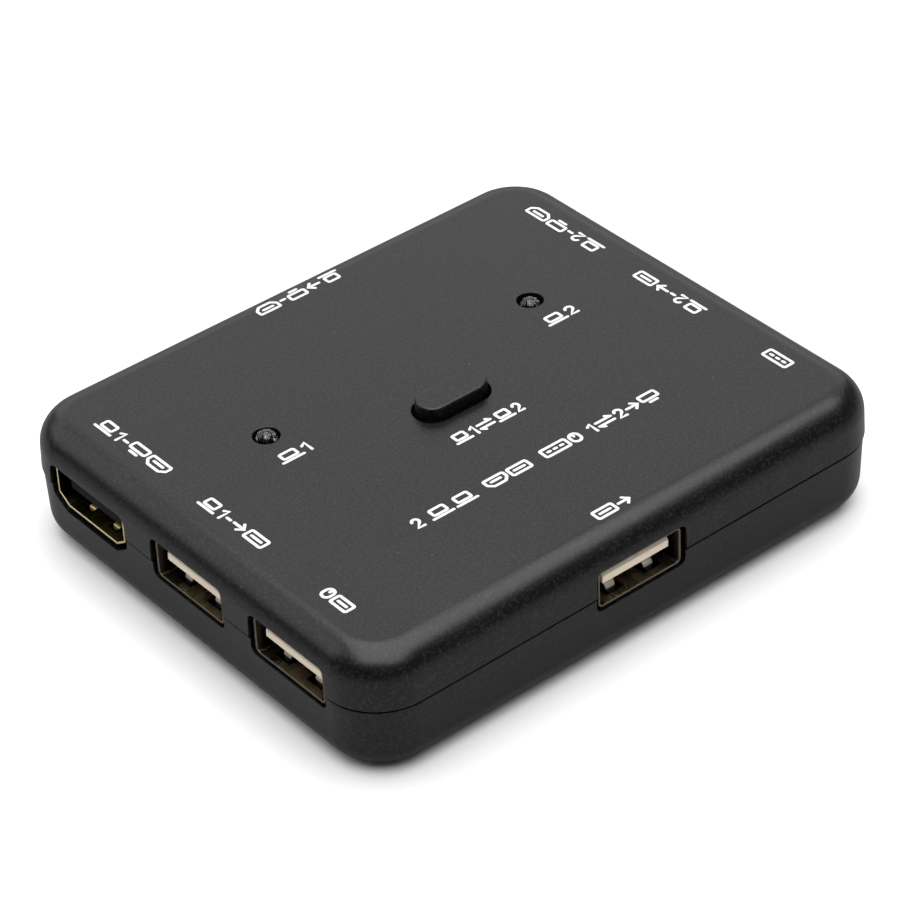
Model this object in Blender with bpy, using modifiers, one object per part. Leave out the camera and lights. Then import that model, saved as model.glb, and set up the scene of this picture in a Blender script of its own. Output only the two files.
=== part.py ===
"""A desktop switch box that shares one screen, keyboard and mouse between two computers.

Metres, +Z up. X runs along the long side and -Y is the front. The soles of the feet are
at Z = 0, below the middle of the case. Every piece of the box is an object of its own.
"""

import math

import bmesh
import bpy
from mathutils import Matrix, Vector

MM = 0.001
TINY = 0.01 * MM
GAP = 0.3 * MM
FIT = 0.15 * MM

# Case
CASE_LENGTH = 88.0 * MM
CASE_WIDTH = 74.5 * MM
CASE_BASE = 0.5 * MM
CASE_TOP = 18.5 * MM
SPLIT = 10.65 * MM
WALL = 2.0 * MM
CORNER = 8.2 * MM
TOP_FILLET = 4.2 * MM
BASE_FILLET = 3.5 * MM
DRAFT = 0.25 * MM
BASE_INSET = 0.2 * MM
LIP_THICKNESS = 0.8 * MM
LIP_RISE = 1.0 * MM
LIP_DEPTH = 2.0 * MM
CORNER_STEPS = 5
FILLET_STEPS = 3
FLOOR = CASE_BASE + WALL
CEILING = CASE_TOP - WALL

# Circuit board
BOARD_TOP = 7.8 * MM
BOARD_THICKNESS = 1.6 * MM
BOARD_BOTTOM = BOARD_TOP - BOARD_THICKNESS
BOARD_LENGTH = 81.6 * MM
BOARD_WIDTH = 68.2 * MM
BOARD_CORNER = 5.0 * MM

# Cover screws and the posts that they run through
SCREW_X = 24.5 * MM
SCREW_Y = 29.0 * MM
SHANK_RADIUS = 1.3 * MM
SCREW_BORE = SHANK_RADIUS + GAP
SCREW_HEAD_RADIUS = 2.5 * MM
SCREW_HEAD_HEIGHT = 1.7 * MM
SCREW_LENGTH = 12.0 * MM
HEAD_SEAT = 2.9 * MM
COUNTERBORE = SCREW_HEAD_RADIUS + GAP
POST_RADIUS = 3.4 * MM
POST_BORE_TOP = HEAD_SEAT + SCREW_LENGTH + GAP

# Rubber feet
FOOT_X = 35.0 * MM
FOOT_Y = 28.0 * MM
FOOT_RADIUS = 4.0 * MM
FOOT_HEIGHT = 1.0 * MM
FOOT_POCKET = FOOT_HEIGHT + GAP - CASE_BASE

# Select button
BUTTON_X = -0.4 * MM
BUTTON_Y = -0.75 * MM
BUTTON_LENGTH = 10.9 * MM
BUTTON_WIDTH = 4.7 * MM
BUTTON_TOP = CASE_TOP + 1.75 * MM
BUTTON_SLACK = 0.5 * MM
BUTTON_EDGE = 0.35 * MM
FLANGE_RIM = 1.3 * MM
FLANGE_HEIGHT = 1.2 * MM
BUTTON_STEM_RADIUS = 2.0 * MM

# Momentary switch under the button
SWITCH_SIDE = 6.0 * MM
SWITCH_BASE_LOW = BOARD_TOP + GAP
SWITCH_BASE_HIGH = SWITCH_BASE_LOW + 3.2 * MM
SWITCH_WELL_RADIUS = 2.5 * MM
SWITCH_WELL_FLOOR = SWITCH_BASE_LOW + 1.0 * MM
PLATE_THICKNESS = 0.3 * MM
PLATE_HOLE_RADIUS = 1.85 * MM
PLUNGER_RADIUS = 1.65 * MM
PLUNGER_FLANGE_RADIUS = 2.25 * MM
PLUNGER_FLANGE_LOW = SWITCH_BASE_LOW + 2.1 * MM
PLUNGER_FLANGE_HIGH = SWITCH_BASE_HIGH - FIT
PLUNGER_TOP = SWITCH_BASE_HIGH + 2.1 * MM
DOME_RADIUS = 2.2 * MM
DOME_RISE = 0.75 * MM
DOME_THICKNESS = 0.12 * MM
SWITCH_LEAD_X = SWITCH_SIDE / 2 + FIT
SWITCH_LEAD_Y = 2.25 * MM

# Indicator lamps, each a 3 mm light-emitting diode on a spacer
LAMP_SPREAD = 22.5 * MM
LAMP_SPOTS = (BUTTON_X - LAMP_SPREAD, BUTTON_X + LAMP_SPREAD)
LAMP_Y = 9.6 * MM
LAMP_TOPS = (CASE_TOP + 0.75 * MM, CASE_TOP + 0.35 * MM)
LAMP_RADIUS = 1.5 * MM
LAMP_HEIGHT = 5.3 * MM
LAMP_FLANGE_RADIUS = 1.9 * MM
LAMP_FLANGE_HEIGHT = 1.0 * MM
LAMP_HOLE_RADIUS = 1.7 * MM
SPACER_RADIUS = 2.1 * MM
LEAD_PITCH = 2.54 * MM
LEAD_THICKNESS = 0.5 * MM
LEAD_STICK_OUT = 1.2 * MM
LEAD_SLOT = (3.5 * MM, 0.9 * MM)
FRAME_HEIGHT = 2.6 * MM

# Sockets: their metal rims stand a little inside the outer faces of the case
RIM_RECESS = 0.54 * MM
SHEET = 0.3 * MM
DATA_WIDTH = 13.1 * MM
DATA_LOW = SPLIT - 2.0 * MM
DATA_HIGH = SPLIT + 3.7 * MM
DATA_DEPTH = 14.0 * MM
DATA_CORNER = 0.8 * MM
DATA_TONGUE_WIDTH = 11.1 * MM
DATA_TONGUE_THICKNESS = 1.84 * MM
DATA_TONGUE_DROP = 0.72 * MM
DATA_TONGUE_START = 0.75 * MM
DATA_BLOCK_START = 10.4 * MM
DATA_CONTACTS = (-3.5 * MM, -1.0 * MM, 1.0 * MM, 3.5 * MM)
DATA_CONTACT_WIDTH = 1.0 * MM
DATA_MOUTH_WIDTH = 15.0 * MM
DATA_MOUTH_LOW = SPLIT - 2.3 * MM
DATA_MOUTH_HIGH = SPLIT + 3.98 * MM
VIDEO_WIDTH = 15.0 * MM
VIDEO_FOOT_WIDTH = 10.9 * MM
VIDEO_LOW = SPLIT - 2.5 * MM
VIDEO_KNEE = SPLIT - 1.1 * MM
VIDEO_HIGH = SPLIT + 3.05 * MM
VIDEO_DEPTH = 11.3 * MM
VIDEO_CORNER = 0.5 * MM
VIDEO_TONGUE_WIDTH = 11.4 * MM
VIDEO_TONGUE_LOW = SPLIT
VIDEO_TONGUE_HIGH = SPLIT + 1.5 * MM
VIDEO_TONGUE_START = 0.9 * MM
VIDEO_BLOCK_START = 8.2 * MM
VIDEO_UPPER_COUNT = 10
VIDEO_LOWER_COUNT = 9
VIDEO_PITCH = 1.0 * MM
VIDEO_CONTACT_WIDTH = 0.4 * MM
VIDEO_MOUTH_GROWTH = 0.8 * MM
VIDEO_MOUTH_HIGH = SPLIT + 3.5 * MM
CONTACT_THICKNESS = 0.2 * MM
LEG_THICKNESS = 0.5 * MM
LEG_WIDTH = 2.0 * MM
LEG_DEPTHS = {"data": 6.0 * MM, "video": 5.0 * MM}
LEG_LOW = BOARD_BOTTOM - 1.0 * MM

# name: (kind, side of the case, distance along that side)
SOCKETS = {
    "video_1_socket": ("video", "left", 21.1 * MM),
    "data_1_socket": ("data", "left", -0.5 * MM),
    "mouse_socket": ("data", "left", -21.0 * MM),
    "video_2_socket": ("video", "right", 21.1 * MM),
    "data_2_socket": ("data", "right", -0.5 * MM),
    "keyboard_socket": ("data", "right", -21.0 * MM),
    "hub_socket": ("data", "front", 0.0),
    "monitor_socket": ("video", "rear", 0.2 * MM),
}

MATERIALS = {
    "case_plastic": ((0.075, 0.075, 0.078), 0.48, 0.0),
    "dark_plastic": ((0.012, 0.012, 0.013), 0.45, 0.0),
    "cream_plastic": ((0.72, 0.63, 0.42), 0.45, 0.0),
    "clear_plastic": ((0.82, 0.82, 0.80), 0.12, 0.0),
    "rubber": ((0.02, 0.02, 0.02), 0.85, 0.0),
    "steel": ((0.55, 0.55, 0.56), 0.30, 1.0),
    "nickel": ((0.62, 0.58, 0.52), 0.28, 1.0),
    "gold_plate": ((0.83, 0.60, 0.27), 0.25, 1.0),
    "board_green": ((0.02, 0.12, 0.05), 0.40, 0.0),
}


# ---- shaping tools --------------------------------------------------------------------

def clear_scene():
    for old in list(bpy.data.objects):
        bpy.data.objects.remove(old, do_unlink=True)


def collection(name):
    group = bpy.data.collections.new(name)
    bpy.context.scene.collection.children.link(group)
    return group


def finish(name):
    """The named finish, made on first use."""
    found = bpy.data.materials.get(name)
    if found:
        return found
    colour, roughness, metallic = MATERIALS[name]
    made = bpy.data.materials.new(name)
    made.use_nodes = True
    shader = made.node_tree.nodes["Principled BSDF"]
    shader.inputs["Base Color"].default_value = (*colour, 1.0)
    shader.inputs["Roughness"].default_value = roughness
    shader.inputs["Metallic"].default_value = metallic
    made.diffuse_color = (*colour, 1.0)
    return made


def add_object(name, mesh, home, material=None):
    obj = bpy.data.objects.new(name, mesh)
    home.objects.link(obj)
    if material and not mesh.materials:
        mesh.materials.append(finish(material))
    return obj


def to_mesh(name, bm):
    bmesh.ops.recalc_face_normals(bm, faces=bm.faces)
    mesh = bpy.data.meshes.new(name)
    bm.to_mesh(mesh)
    bm.free()
    return mesh


def smooth(mesh):
    mesh.shade_smooth()
    mesh.set_sharp_from_angle(angle=math.radians(35.0))
    return mesh


def rounded_outline(corners, steps=2):
    """Closed outline through corners (u, v, radius), each rounded by an arc."""
    points = []
    for index, (u, v, radius) in enumerate(corners):
        here = Vector((u, v))
        back = (Vector(corners[index - 1][:2]) - here).normalized()
        ahead = (Vector(corners[(index + 1) % len(corners)][:2]) - here).normalized()
        if radius < TINY:
            points.append((u, v))
            continue
        half_angle = back.angle(ahead) / 2
        centre = here + (back + ahead).normalized() * radius / math.sin(half_angle)
        start = here + back * radius / math.tan(half_angle) - centre
        end = here + ahead * radius / math.tan(half_angle) - centre
        turn = start.angle_signed(end)
        for step in range(steps + 1):
            spoke = Matrix.Rotation(-turn * step / steps, 2) @ start
            points.append(tuple(centre + spoke))
    return points


def rectangle(half_u, low, high, radius):
    return [(-half_u, low, radius), (half_u, low, radius), (half_u, high, radius), (-half_u, high, radius)]


def grown(corners, distance):
    """The same corners with every side moved outwards (or inwards, when negative)."""
    moved = []
    for index, (u, v, radius) in enumerate(corners):
        here = Vector((u, v))
        arrive = (here - Vector(corners[index - 1][:2])).normalized()
        leave = (Vector(corners[(index + 1) % len(corners)][:2]) - here).normalized()
        out_a = Vector((arrive.y, -arrive.x))
        out_b = Vector((leave.y, -leave.x))
        shift = (out_a + out_b) * distance / (1 + out_a.dot(out_b))
        moved.append((u + shift.x, v + shift.y, max(radius + distance, 0.0)))
    return moved


def prism(name, outline, near, far, axis):
    """A flat outline extruded along an axis; it is filled in millimetres, then scaled to metres."""
    curve = bpy.data.curves.new(name, "CURVE")
    curve.dimensions = "2D"
    curve.fill_mode = "BOTH"
    curve.extrude = (far - near) / MM / 2
    spline = curve.splines.new("POLY")
    spline.points.add(len(outline) - 1)
    for point, (u, v) in zip(spline.points, outline):
        point.co = (u / MM, v / MM, 0.0, 1.0)
    spline.use_cyclic_u = True
    holder = bpy.data.objects.new(name, curve)
    bpy.context.scene.collection.objects.link(holder)
    depsgraph = bpy.context.evaluated_depsgraph_get()
    mesh = bpy.data.meshes.new_from_object(holder.evaluated_get(depsgraph))
    bpy.data.objects.remove(holder, do_unlink=True)
    turns = {
        "X": Matrix(((0, 0, 1, 0), (1, 0, 0, 0), (0, 1, 0, 0), (0, 0, 0, 1))),
        "Y": Matrix(((1, 0, 0, 0), (0, 0, -1, 0), (0, 1, 0, 0), (0, 0, 0, 1))),
        "Z": Matrix.Identity(4),
    }
    shift = {"X": (1, 0, 0), "Y": (0, 1, 0), "Z": (0, 0, 1)}[axis]
    bm = bmesh.new()
    bm.from_mesh(mesh)
    bpy.data.meshes.remove(mesh)
    bmesh.ops.remove_doubles(bm, verts=bm.verts, dist=0.001)
    bmesh.ops.transform(bm, matrix=Matrix.Scale(MM, 4) @ turns[axis], verts=bm.verts)
    bmesh.ops.translate(bm, vec=Vector(shift) * (near + far) / 2, verts=bm.verts)
    return to_mesh(name, bm)


def box(name, low, high):
    bm = bmesh.new()
    bmesh.ops.create_cube(bm, size=1.0)
    size = Vector(high) - Vector(low)
    bmesh.ops.scale(bm, vec=size, verts=bm.verts)
    bmesh.ops.translate(bm, vec=(Vector(high) + Vector(low)) / 2, verts=bm.verts)
    return to_mesh(name, bm)


def rod(name, radius, low, high, x=0.0, y=0.0, segments=14):
    bm = bmesh.new()
    bmesh.ops.create_cone(bm, cap_ends=True, segments=segments,
                          radius1=radius, radius2=radius, depth=high - low)
    bmesh.ops.translate(bm, vec=(x, y, (low + high) / 2), verts=bm.verts)
    return smooth(to_mesh(name, bm))


def turned(name, profile, home, material, steps=16):
    """A profile of (radius, height) points, top to bottom, turned about Z."""
    mesh = bpy.data.meshes.new(name)
    points = [(radius, 0.0, height) for radius, height in profile]
    mesh.from_pydata(points, [(i, i + 1) for i in range(len(points) - 1)], [])
    obj = add_object(name, mesh, home, material)
    screw = obj.modifiers.new("turn", "SCREW")
    screw.steps = steps
    screw.render_steps = steps
    screw.use_merge_vertices = True
    screw.merge_threshold = 0.001 * MM
    screw.use_smooth_shade = True
    return obj


def combine(target, tool_mesh, operation, home):
    """Cut or join target with a mesh given in target's own coordinates."""
    tool = add_object(tool_mesh.name, tool_mesh, home)
    tool.matrix_basis = target.matrix_basis.copy()
    tool.hide_render = True
    tool.display_type = "WIRE"
    modifier = target.modifiers.new(operation.lower(), "BOOLEAN")
    modifier.operation = operation
    modifier.solver = "EXACT"
    modifier.object = tool


def baked(obj):
    """The object's final mesh; the object and its tools are removed."""
    bpy.context.view_layer.update()
    depsgraph = bpy.context.evaluated_depsgraph_get()
    mesh = bpy.data.meshes.new_from_object(obj.evaluated_get(depsgraph))
    tools = [m.object for m in obj.modifiers if m.type == "BOOLEAN"]
    mesh.name = obj.name
    for used in [*tools, obj]:
        bpy.data.objects.remove(used, do_unlink=True)
    return mesh


def four_corners(x, y):
    return [(x, y), (-x, y), (-x, -y), (x, -y)]


# ---- case -----------------------------------------------------------------------------

def soft_block(name, size, low, high, corner, fillet=0.0, soft_end="top", draft=0.0):
    """A block with round upright corners, one softened end, and draft towards that end."""
    length, width = size
    end = high if soft_end == "top" else low
    bm = bmesh.new()
    bmesh.ops.create_cube(bm, size=1.0)
    bmesh.ops.scale(bm, vec=(length, width, high - low), verts=bm.verts)
    bmesh.ops.translate(bm, vec=(0, 0, (low + high) / 2), verts=bm.verts)
    upright = [e for e in bm.edges if abs(e.verts[0].co.z - e.verts[1].co.z) > TINY]
    bmesh.ops.bevel(bm, geom=upright, offset=corner, segments=CORNER_STEPS, profile=0.5, affect="EDGES")
    soft = [v for v in bm.verts if abs(v.co.z - end) < TINY]
    bmesh.ops.scale(bm, vec=(1 - 2 * draft / length, 1 - 2 * draft / width, 1), verts=soft)
    if fillet > 0:
        rim = [e for e in bm.edges if all(abs(v.co.z - end) < TINY for v in e.verts)]
        bmesh.ops.bevel(bm, geom=rim, offset=fillet, segments=FILLET_STEPS, profile=0.5, affect="EDGES")
    return smooth(to_mesh(name, bm))


def case_size(inset):
    return CASE_LENGTH - 2 * inset, CASE_WIDTH - 2 * inset


def data_corners():
    return rectangle(DATA_WIDTH / 2, DATA_LOW, DATA_HIGH, DATA_CORNER)


def video_corners():
    half = VIDEO_WIDTH / 2
    foot = VIDEO_FOOT_WIDTH / 2
    r = VIDEO_CORNER
    return [(-foot, VIDEO_LOW, r), (foot, VIDEO_LOW, r), (half, VIDEO_KNEE, r),
            (half, VIDEO_HIGH, r), (-half, VIDEO_HIGH, r), (-half, VIDEO_KNEE, r)]


def mouth(name, kind):
    """The opening in the case wall in front of one socket."""
    if kind == "data":
        corners = rectangle(DATA_MOUTH_WIDTH / 2, DATA_MOUTH_LOW, DATA_MOUTH_HIGH, 1.0 * MM)
    else:
        corners = [(u, min(v, VIDEO_MOUTH_HIGH), radius)
                   for u, v, radius in grown(video_corners(), VIDEO_MOUTH_GROWTH)]
    return prism(name, rounded_outline(corners, 2), -3.0 * MM, 5.0 * MM, "Y")


def seat(side, along):
    """Where a socket stands: its local -Y looks out of the case, at its rim."""
    out_x = CASE_LENGTH / 2 - RIM_RECESS
    out_y = CASE_WIDTH / 2 - RIM_RECESS
    spots = {
        "front": (along, -out_y, 0.0),
        "right": (out_x, along, 90.0),
        "rear": (along, out_y, 180.0),
        "left": (-out_x, along, -90.0),
    }
    x, y, turn = spots[side]
    return Matrix.Translation((x, y, 0)) @ Matrix.Rotation(math.radians(turn), 4, "Z")


def placed(mesh, matrix):
    mesh.transform(matrix)
    return mesh


def cut_mouths(cover, tools):
    for name, (kind, side, along) in SOCKETS.items():
        cutter = placed(mouth(name + "_mouth", kind), seat(side, along))
        combine(cover, cutter, "DIFFERENCE", tools)


def make_top_cover(parts, tools):
    rim = SPLIT + GAP / 2
    shell = soft_block("top_cover", case_size(0), rim, CASE_TOP, CORNER, TOP_FILLET, "top", DRAFT)
    cover = add_object("top_cover", shell, parts, "case_plastic")
    hollow = soft_block("top_hollow", case_size(WALL), SPLIT - 5 * MM, CEILING, CORNER - WALL,
                        TOP_FILLET - WALL, "top", DRAFT)
    combine(cover, hollow, "DIFFERENCE", tools)
    for index, (x, y) in enumerate(four_corners(SCREW_X, SCREW_Y), 1):
        post = rod(f"top_post_{index}", POST_RADIUS, BOARD_TOP + GAP, CEILING + 1 * MM, x, y)
        combine(cover, post, "UNION", tools)
        bore = rod(f"top_bore_{index}", SCREW_BORE, BOARD_TOP - 1 * MM, POST_BORE_TOP, x, y, 12)
        combine(cover, bore, "DIFFERENCE", tools)
    cut_mouths(cover, tools)
    for index, x in enumerate(LAMP_SPOTS, 1):
        radius = LAMP_HOLE_RADIUS + FIT
        hole = rod(f"lamp_hole_{index}", radius, CEILING - 1 * MM, CASE_TOP + 1 * MM, x, LAMP_Y)
        combine(cover, hole, "DIFFERENCE", tools)
    opening = prism("button_hole", button_outline(BUTTON_SLACK), CEILING - 1 * MM, CASE_TOP + 1 * MM, "Z")
    combine(cover, placed(opening, Matrix.Translation((BUTTON_X, BUTTON_Y, 0))), "DIFFERENCE", tools)


def make_bottom_cover(parts, tools):
    rim = SPLIT - GAP / 2
    shell = soft_block("bottom_cover", case_size(BASE_INSET), CASE_BASE, rim, CORNER - BASE_INSET,
                       BASE_FILLET, "base", DRAFT)
    cover = add_object("bottom_cover", shell, parts, "case_plastic")
    lip_out = WALL + GAP
    lip_low = SPLIT - LIP_DEPTH - 1 * MM
    lip = soft_block("lip", case_size(lip_out), lip_low, SPLIT + LIP_RISE, CORNER - lip_out)
    combine(cover, lip, "UNION", tools)
    hollow = soft_block("base_hollow", case_size(BASE_INSET + WALL), FLOOR, SPLIT - LIP_DEPTH,
                        CORNER - BASE_INSET - WALL, BASE_FILLET - WALL, "base", DRAFT)
    combine(cover, hollow, "DIFFERENCE", tools)
    lip_in = lip_out + LIP_THICKNESS
    throat = soft_block("lip_hollow", case_size(lip_in), lip_low, SPLIT + 5 * MM, CORNER - lip_in)
    combine(cover, throat, "DIFFERENCE", tools)
    for index, (x, y) in enumerate(four_corners(SCREW_X, SCREW_Y), 1):
        post = rod(f"base_post_{index}", POST_RADIUS, FLOOR - 1 * MM, BOARD_BOTTOM - GAP, x, y)
        combine(cover, post, "UNION", tools)
        bore = rod(f"base_bore_{index}", SCREW_BORE, CASE_BASE - 1 * MM, BOARD_BOTTOM + 1 * MM, x, y, 12)
        combine(cover, bore, "DIFFERENCE", tools)
        recess = rod(f"head_recess_{index}", COUNTERBORE, CASE_BASE - 1 * MM, HEAD_SEAT, x, y)
        combine(cover, recess, "DIFFERENCE", tools)
    cut_mouths(cover, tools)
    for index, (x, y) in enumerate(four_corners(FOOT_X, FOOT_Y), 1):
        radius = FOOT_RADIUS + GAP
        pocket = rod(f"foot_pocket_{index}", radius, CASE_BASE - 1 * MM, CASE_BASE + FOOT_POCKET, x, y)
        combine(cover, pocket, "DIFFERENCE", tools)


def make_screws(parts, tools):
    """Pan-head screws: driven from below, so the head is at the low end."""
    head_low = HEAD_SEAT - SCREW_HEAD_HEIGHT - FIT
    head_high = HEAD_SEAT - FIT
    crown = 0.45 * MM
    profile = [
        (0.0, head_high + SCREW_LENGTH),
        (SHANK_RADIUS * 0.6, head_high + SCREW_LENGTH - 0.6 * MM),
        (SHANK_RADIUS, head_high + SCREW_LENGTH - 1.8 * MM),
        (SHANK_RADIUS, head_high),
        (SCREW_HEAD_RADIUS, head_high),
        (SCREW_HEAD_RADIUS, head_low + crown),
        (SCREW_HEAD_RADIUS - crown, head_low),
        (0.0, head_low),
    ]
    pattern = turned("cover_screw", profile, parts, "steel", 10)
    arm = 1.35 * MM
    slot = 0.32 * MM
    depth = head_low + 0.9 * MM
    for index, (half_x, half_y) in enumerate(((arm, slot), (slot, arm)), 1):
        groove = box(f"cross_{index}", (-half_x, -half_y, head_low - 1 * MM), (half_x, half_y, depth))
        combine(pattern, groove, "DIFFERENCE", tools)
    mesh = baked(pattern)
    for index, (x, y) in enumerate(four_corners(SCREW_X, SCREW_Y), 1):
        screw = add_object(f"cover_screw_{index}", mesh, parts)
        screw.location = (x, y, 0)


def make_feet(parts):
    edge = 0.3 * MM
    profile = [
        (0.0, FOOT_HEIGHT),
        (FOOT_RADIUS, FOOT_HEIGHT),
        (FOOT_RADIUS, edge),
        (FOOT_RADIUS - edge, 0.0),
        (0.0, 0.0),
    ]
    mesh = baked(turned("rubber_foot", profile, parts, "rubber", 16))
    for index, (x, y) in enumerate(four_corners(FOOT_X, FOOT_Y), 1):
        foot = add_object(f"rubber_foot_{index}", mesh, parts)
        foot.location = (x, y, 0)


# ---- circuit board and what stands on it ----------------------------------------------

def make_board(parts, tools):
    half_width = BOARD_WIDTH / 2
    outline = rounded_outline(rectangle(BOARD_LENGTH / 2, -half_width, half_width, BOARD_CORNER))
    plate = prism("circuit_board", outline, BOARD_BOTTOM, BOARD_TOP, "Z")
    board = add_object("circuit_board", plate, parts, "board_green")
    low = BOARD_BOTTOM - 1 * MM
    high = BOARD_TOP + 1 * MM
    for index, (x, y) in enumerate(four_corners(SCREW_X, SCREW_Y), 1):
        hole = rod(f"board_hole_{index}", SCREW_BORE + FIT, low, high, x, y, 12)
        combine(board, hole, "DIFFERENCE", tools)
    for name, (kind, side, along) in SOCKETS.items():
        half = (DATA_WIDTH if kind == "data" else VIDEO_WIDTH) / 2 - SHEET / 2
        reach = LEG_THICKNESS / 2 + FIT
        start = LEG_DEPTHS[kind] - FIT
        end = LEG_DEPTHS[kind] + LEG_WIDTH + FIT
        for hand, middle in (("a", -half), ("b", half)):
            slot = box(f"{name}_slot_{hand}", (middle - reach, start, low), (middle + reach, end, high))
            combine(board, placed(slot, seat(side, along)), "DIFFERENCE", tools)
    for index, x in enumerate(LAMP_SPOTS, 1):
        for hand, side in (("a", -1), ("b", 1)):
            spot = x + side * LEAD_PITCH / 2
            hole = rod(f"lamp_{index}_pad_{hand}", 0.5 * MM, low, high, spot, LAMP_Y, 8)
            combine(board, hole, "DIFFERENCE", tools)
    for index, (x, y) in enumerate(four_corners(SWITCH_LEAD_X, SWITCH_LEAD_Y), 1):
        drop = x + math.copysign(0.25 * MM + CONTACT_THICKNESS / 2, x)
        hole = rod(f"switch_pad_{index}", 0.55 * MM, low, high, BUTTON_X + drop, BUTTON_Y + y, 8)
        combine(board, hole, "DIFFERENCE", tools)


def make_chips(parts):
    """Flat packages: name, centre, size and how much of each upright edge is cut off."""
    chips = (
        ("video_switch_chip", (7.0 * MM, 14.5 * MM), (10.0 * MM, 10.0 * MM, 1.4 * MM), 0.6 * MM),
        ("hub_chip", (-9.0 * MM, -14.0 * MM), (7.0 * MM, 7.0 * MM, 1.2 * MM), 0.4 * MM),
        ("clock_crystal", (10.5 * MM, -15.0 * MM), (4.6 * MM, 11.0 * MM, 3.5 * MM), 2.0 * MM),
        ("voltage_regulator", (-12.0 * MM, 15.0 * MM), (6.5 * MM, 3.5 * MM, 1.6 * MM), 0.3 * MM),
    )
    for name, (x, y), (length, width, height), chamfer in chips:
        corners = rectangle(length / 2, -width / 2, width / 2, chamfer)
        steps = 3 if name == "clock_crystal" else 1
        low = BOARD_TOP + GAP
        mesh = prism(name, rounded_outline(corners, steps), low, low + height, "Z")
        chip = add_object(name, mesh, parts, "steel" if name == "clock_crystal" else "dark_plastic")
        chip.location = (x, y, 0)


def make_capacitors(parts):
    radius = 2.5 * MM
    low = BOARD_TOP + GAP
    high = low + 5.4 * MM
    edge = 0.3 * MM
    neck = 0.25 * MM
    profile = [
        (0.0, high), (radius - edge, high), (radius, high - edge),
        (radius, low + 1.6 * MM), (radius - neck, low + 1.3 * MM), (radius, low + 1.0 * MM),
        (radius, low), (0.0, low),
    ]
    mesh = baked(turned("supply_capacitor", profile, parts, "steel", 14))
    for index, (x, y) in enumerate(((-21.0 * MM, -8.0 * MM), (21.0 * MM, -10.0 * MM)), 1):
        can = add_object(f"supply_capacitor_{index}", mesh, parts)
        can.location = (x, y, 0)


def make_lamps(parts, tools):
    slot_x, slot_y = LEAD_SLOT[0] / 2, LEAD_SLOT[1] / 2
    for index, (x, top) in enumerate(zip(LAMP_SPOTS, LAMP_TOPS), 1):
        base = top - LAMP_HEIGHT
        shoulder = base + LAMP_FLANGE_HEIGHT
        equator = top - LAMP_RADIUS
        dome = [(LAMP_RADIUS * math.sin(turn), equator + LAMP_RADIUS * math.cos(turn))
                for turn in (math.radians(22.5 * step) for step in range(5))]
        profile = [*dome, (LAMP_RADIUS, shoulder), (LAMP_FLANGE_RADIUS, shoulder),
                   (LAMP_FLANGE_RADIUS, base), (0.0, base)]
        lens = turned(f"lamp_{index}_lens", profile, parts, "clear_plastic", 16)
        lens.location = (x, LAMP_Y, 0)
        wide = box(f"lens_{index}_slot", (-slot_x, -slot_y, base - 1 * MM),
                   (slot_x, slot_y, shoulder - 0.3 * MM))
        tall = 1.05 * MM
        frame_top = base + FRAME_HEIGHT + FIT
        narrow = box(f"lens_{index}_pocket", (-tall, -slot_y, base - 1 * MM), (tall, slot_y, frame_top))
        combine(lens, wide, "DIFFERENCE", tools)
        combine(lens, narrow, "DIFFERENCE", tools)

        spacer_low = BOARD_TOP + GAP
        spacer_high = base - FIT
        post = rod(f"lamp_{index}_spacer", SPACER_RADIUS, spacer_low, spacer_high)
        spacer = add_object(post.name, post, parts, "dark_plastic")
        spacer.location = (x, LAMP_Y, 0)
        for hand, side in (("a", -1), ("b", 1)):
            middle = side * LEAD_PITCH / 2
            bore = rod(f"spacer_{index}_{hand}", 0.45 * MM, spacer_low - 1 * MM, spacer_high + 1 * MM,
                       middle, 0, 8)
            combine(spacer, bore, "DIFFERENCE", tools)
            foot = BOARD_BOTTOM - LEAD_STICK_OUT
            make_lamp_lead(f"lamp_{index}_lead_{hand}", side, foot, base, parts).location = (x, LAMP_Y, 0)


def make_lamp_lead(name, side, foot, base, parts):
    """A stamped lead that steps in towards the middle of the lens."""
    half = LEAD_THICKNESS / 2
    outer = LEAD_PITCH / 2
    inner = 0.55 * MM
    step = base + 0.15 * MM
    top = base + FRAME_HEIGHT
    outline = [
        (outer - half, foot), (outer + half, foot), (outer + half, step + 2 * half),
        (inner + half, step + 2 * half), (inner + half, top), (inner - half, top),
        (inner - half, step), (outer - half, step),
    ]
    outline = [(side * u, v) for u, v in outline]
    return add_object(name, prism(name, outline, -half, half, "Y"), parts, "steel")


# ---- button and its switch ------------------------------------------------------------

def button_outline(extra=0.0):
    half_width = BUTTON_WIDTH / 2 + extra
    half_length = BUTTON_LENGTH / 2 + extra
    corners = rectangle(half_length, -half_width, half_width, half_width - TINY)
    return rounded_outline(corners, 4)


def make_button(parts, tools):
    """A stadium cap, a flange that stops under the cover and a stem down to the plunger."""
    flange_high = CEILING - GAP
    flange_low = flange_high - FLANGE_HEIGHT
    bm = bmesh.new()
    bm.from_mesh(prism("cap", button_outline(), flange_low, BUTTON_TOP, "Z"))
    rim = [e for e in bm.edges if all(abs(v.co.z - BUTTON_TOP) < TINY for v in e.verts)]
    outer = [e for e in rim if len(e.link_faces) == 2 and e.calc_face_angle() > 1.0]
    bmesh.ops.bevel(bm, geom=outer, offset=BUTTON_EDGE, segments=2, profile=0.5, affect="EDGES")
    pivot = Matrix.Translation((0, 0, -BUTTON_TOP))
    cap = placed(smooth(to_mesh("select_button", bm)), pivot)
    button = add_object("select_button", cap, parts, "case_plastic")
    button.location = (BUTTON_X, BUTTON_Y, BUTTON_TOP)
    flange = prism("button_flange", button_outline(FLANGE_RIM), flange_low, flange_high, "Z")
    combine(button, placed(flange, pivot), "UNION", tools)
    stem = rod("button_stem", BUTTON_STEM_RADIUS, PLUNGER_TOP + FIT, flange_low + 1 * MM)
    combine(button, placed(stem, pivot), "UNION", tools)


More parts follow.
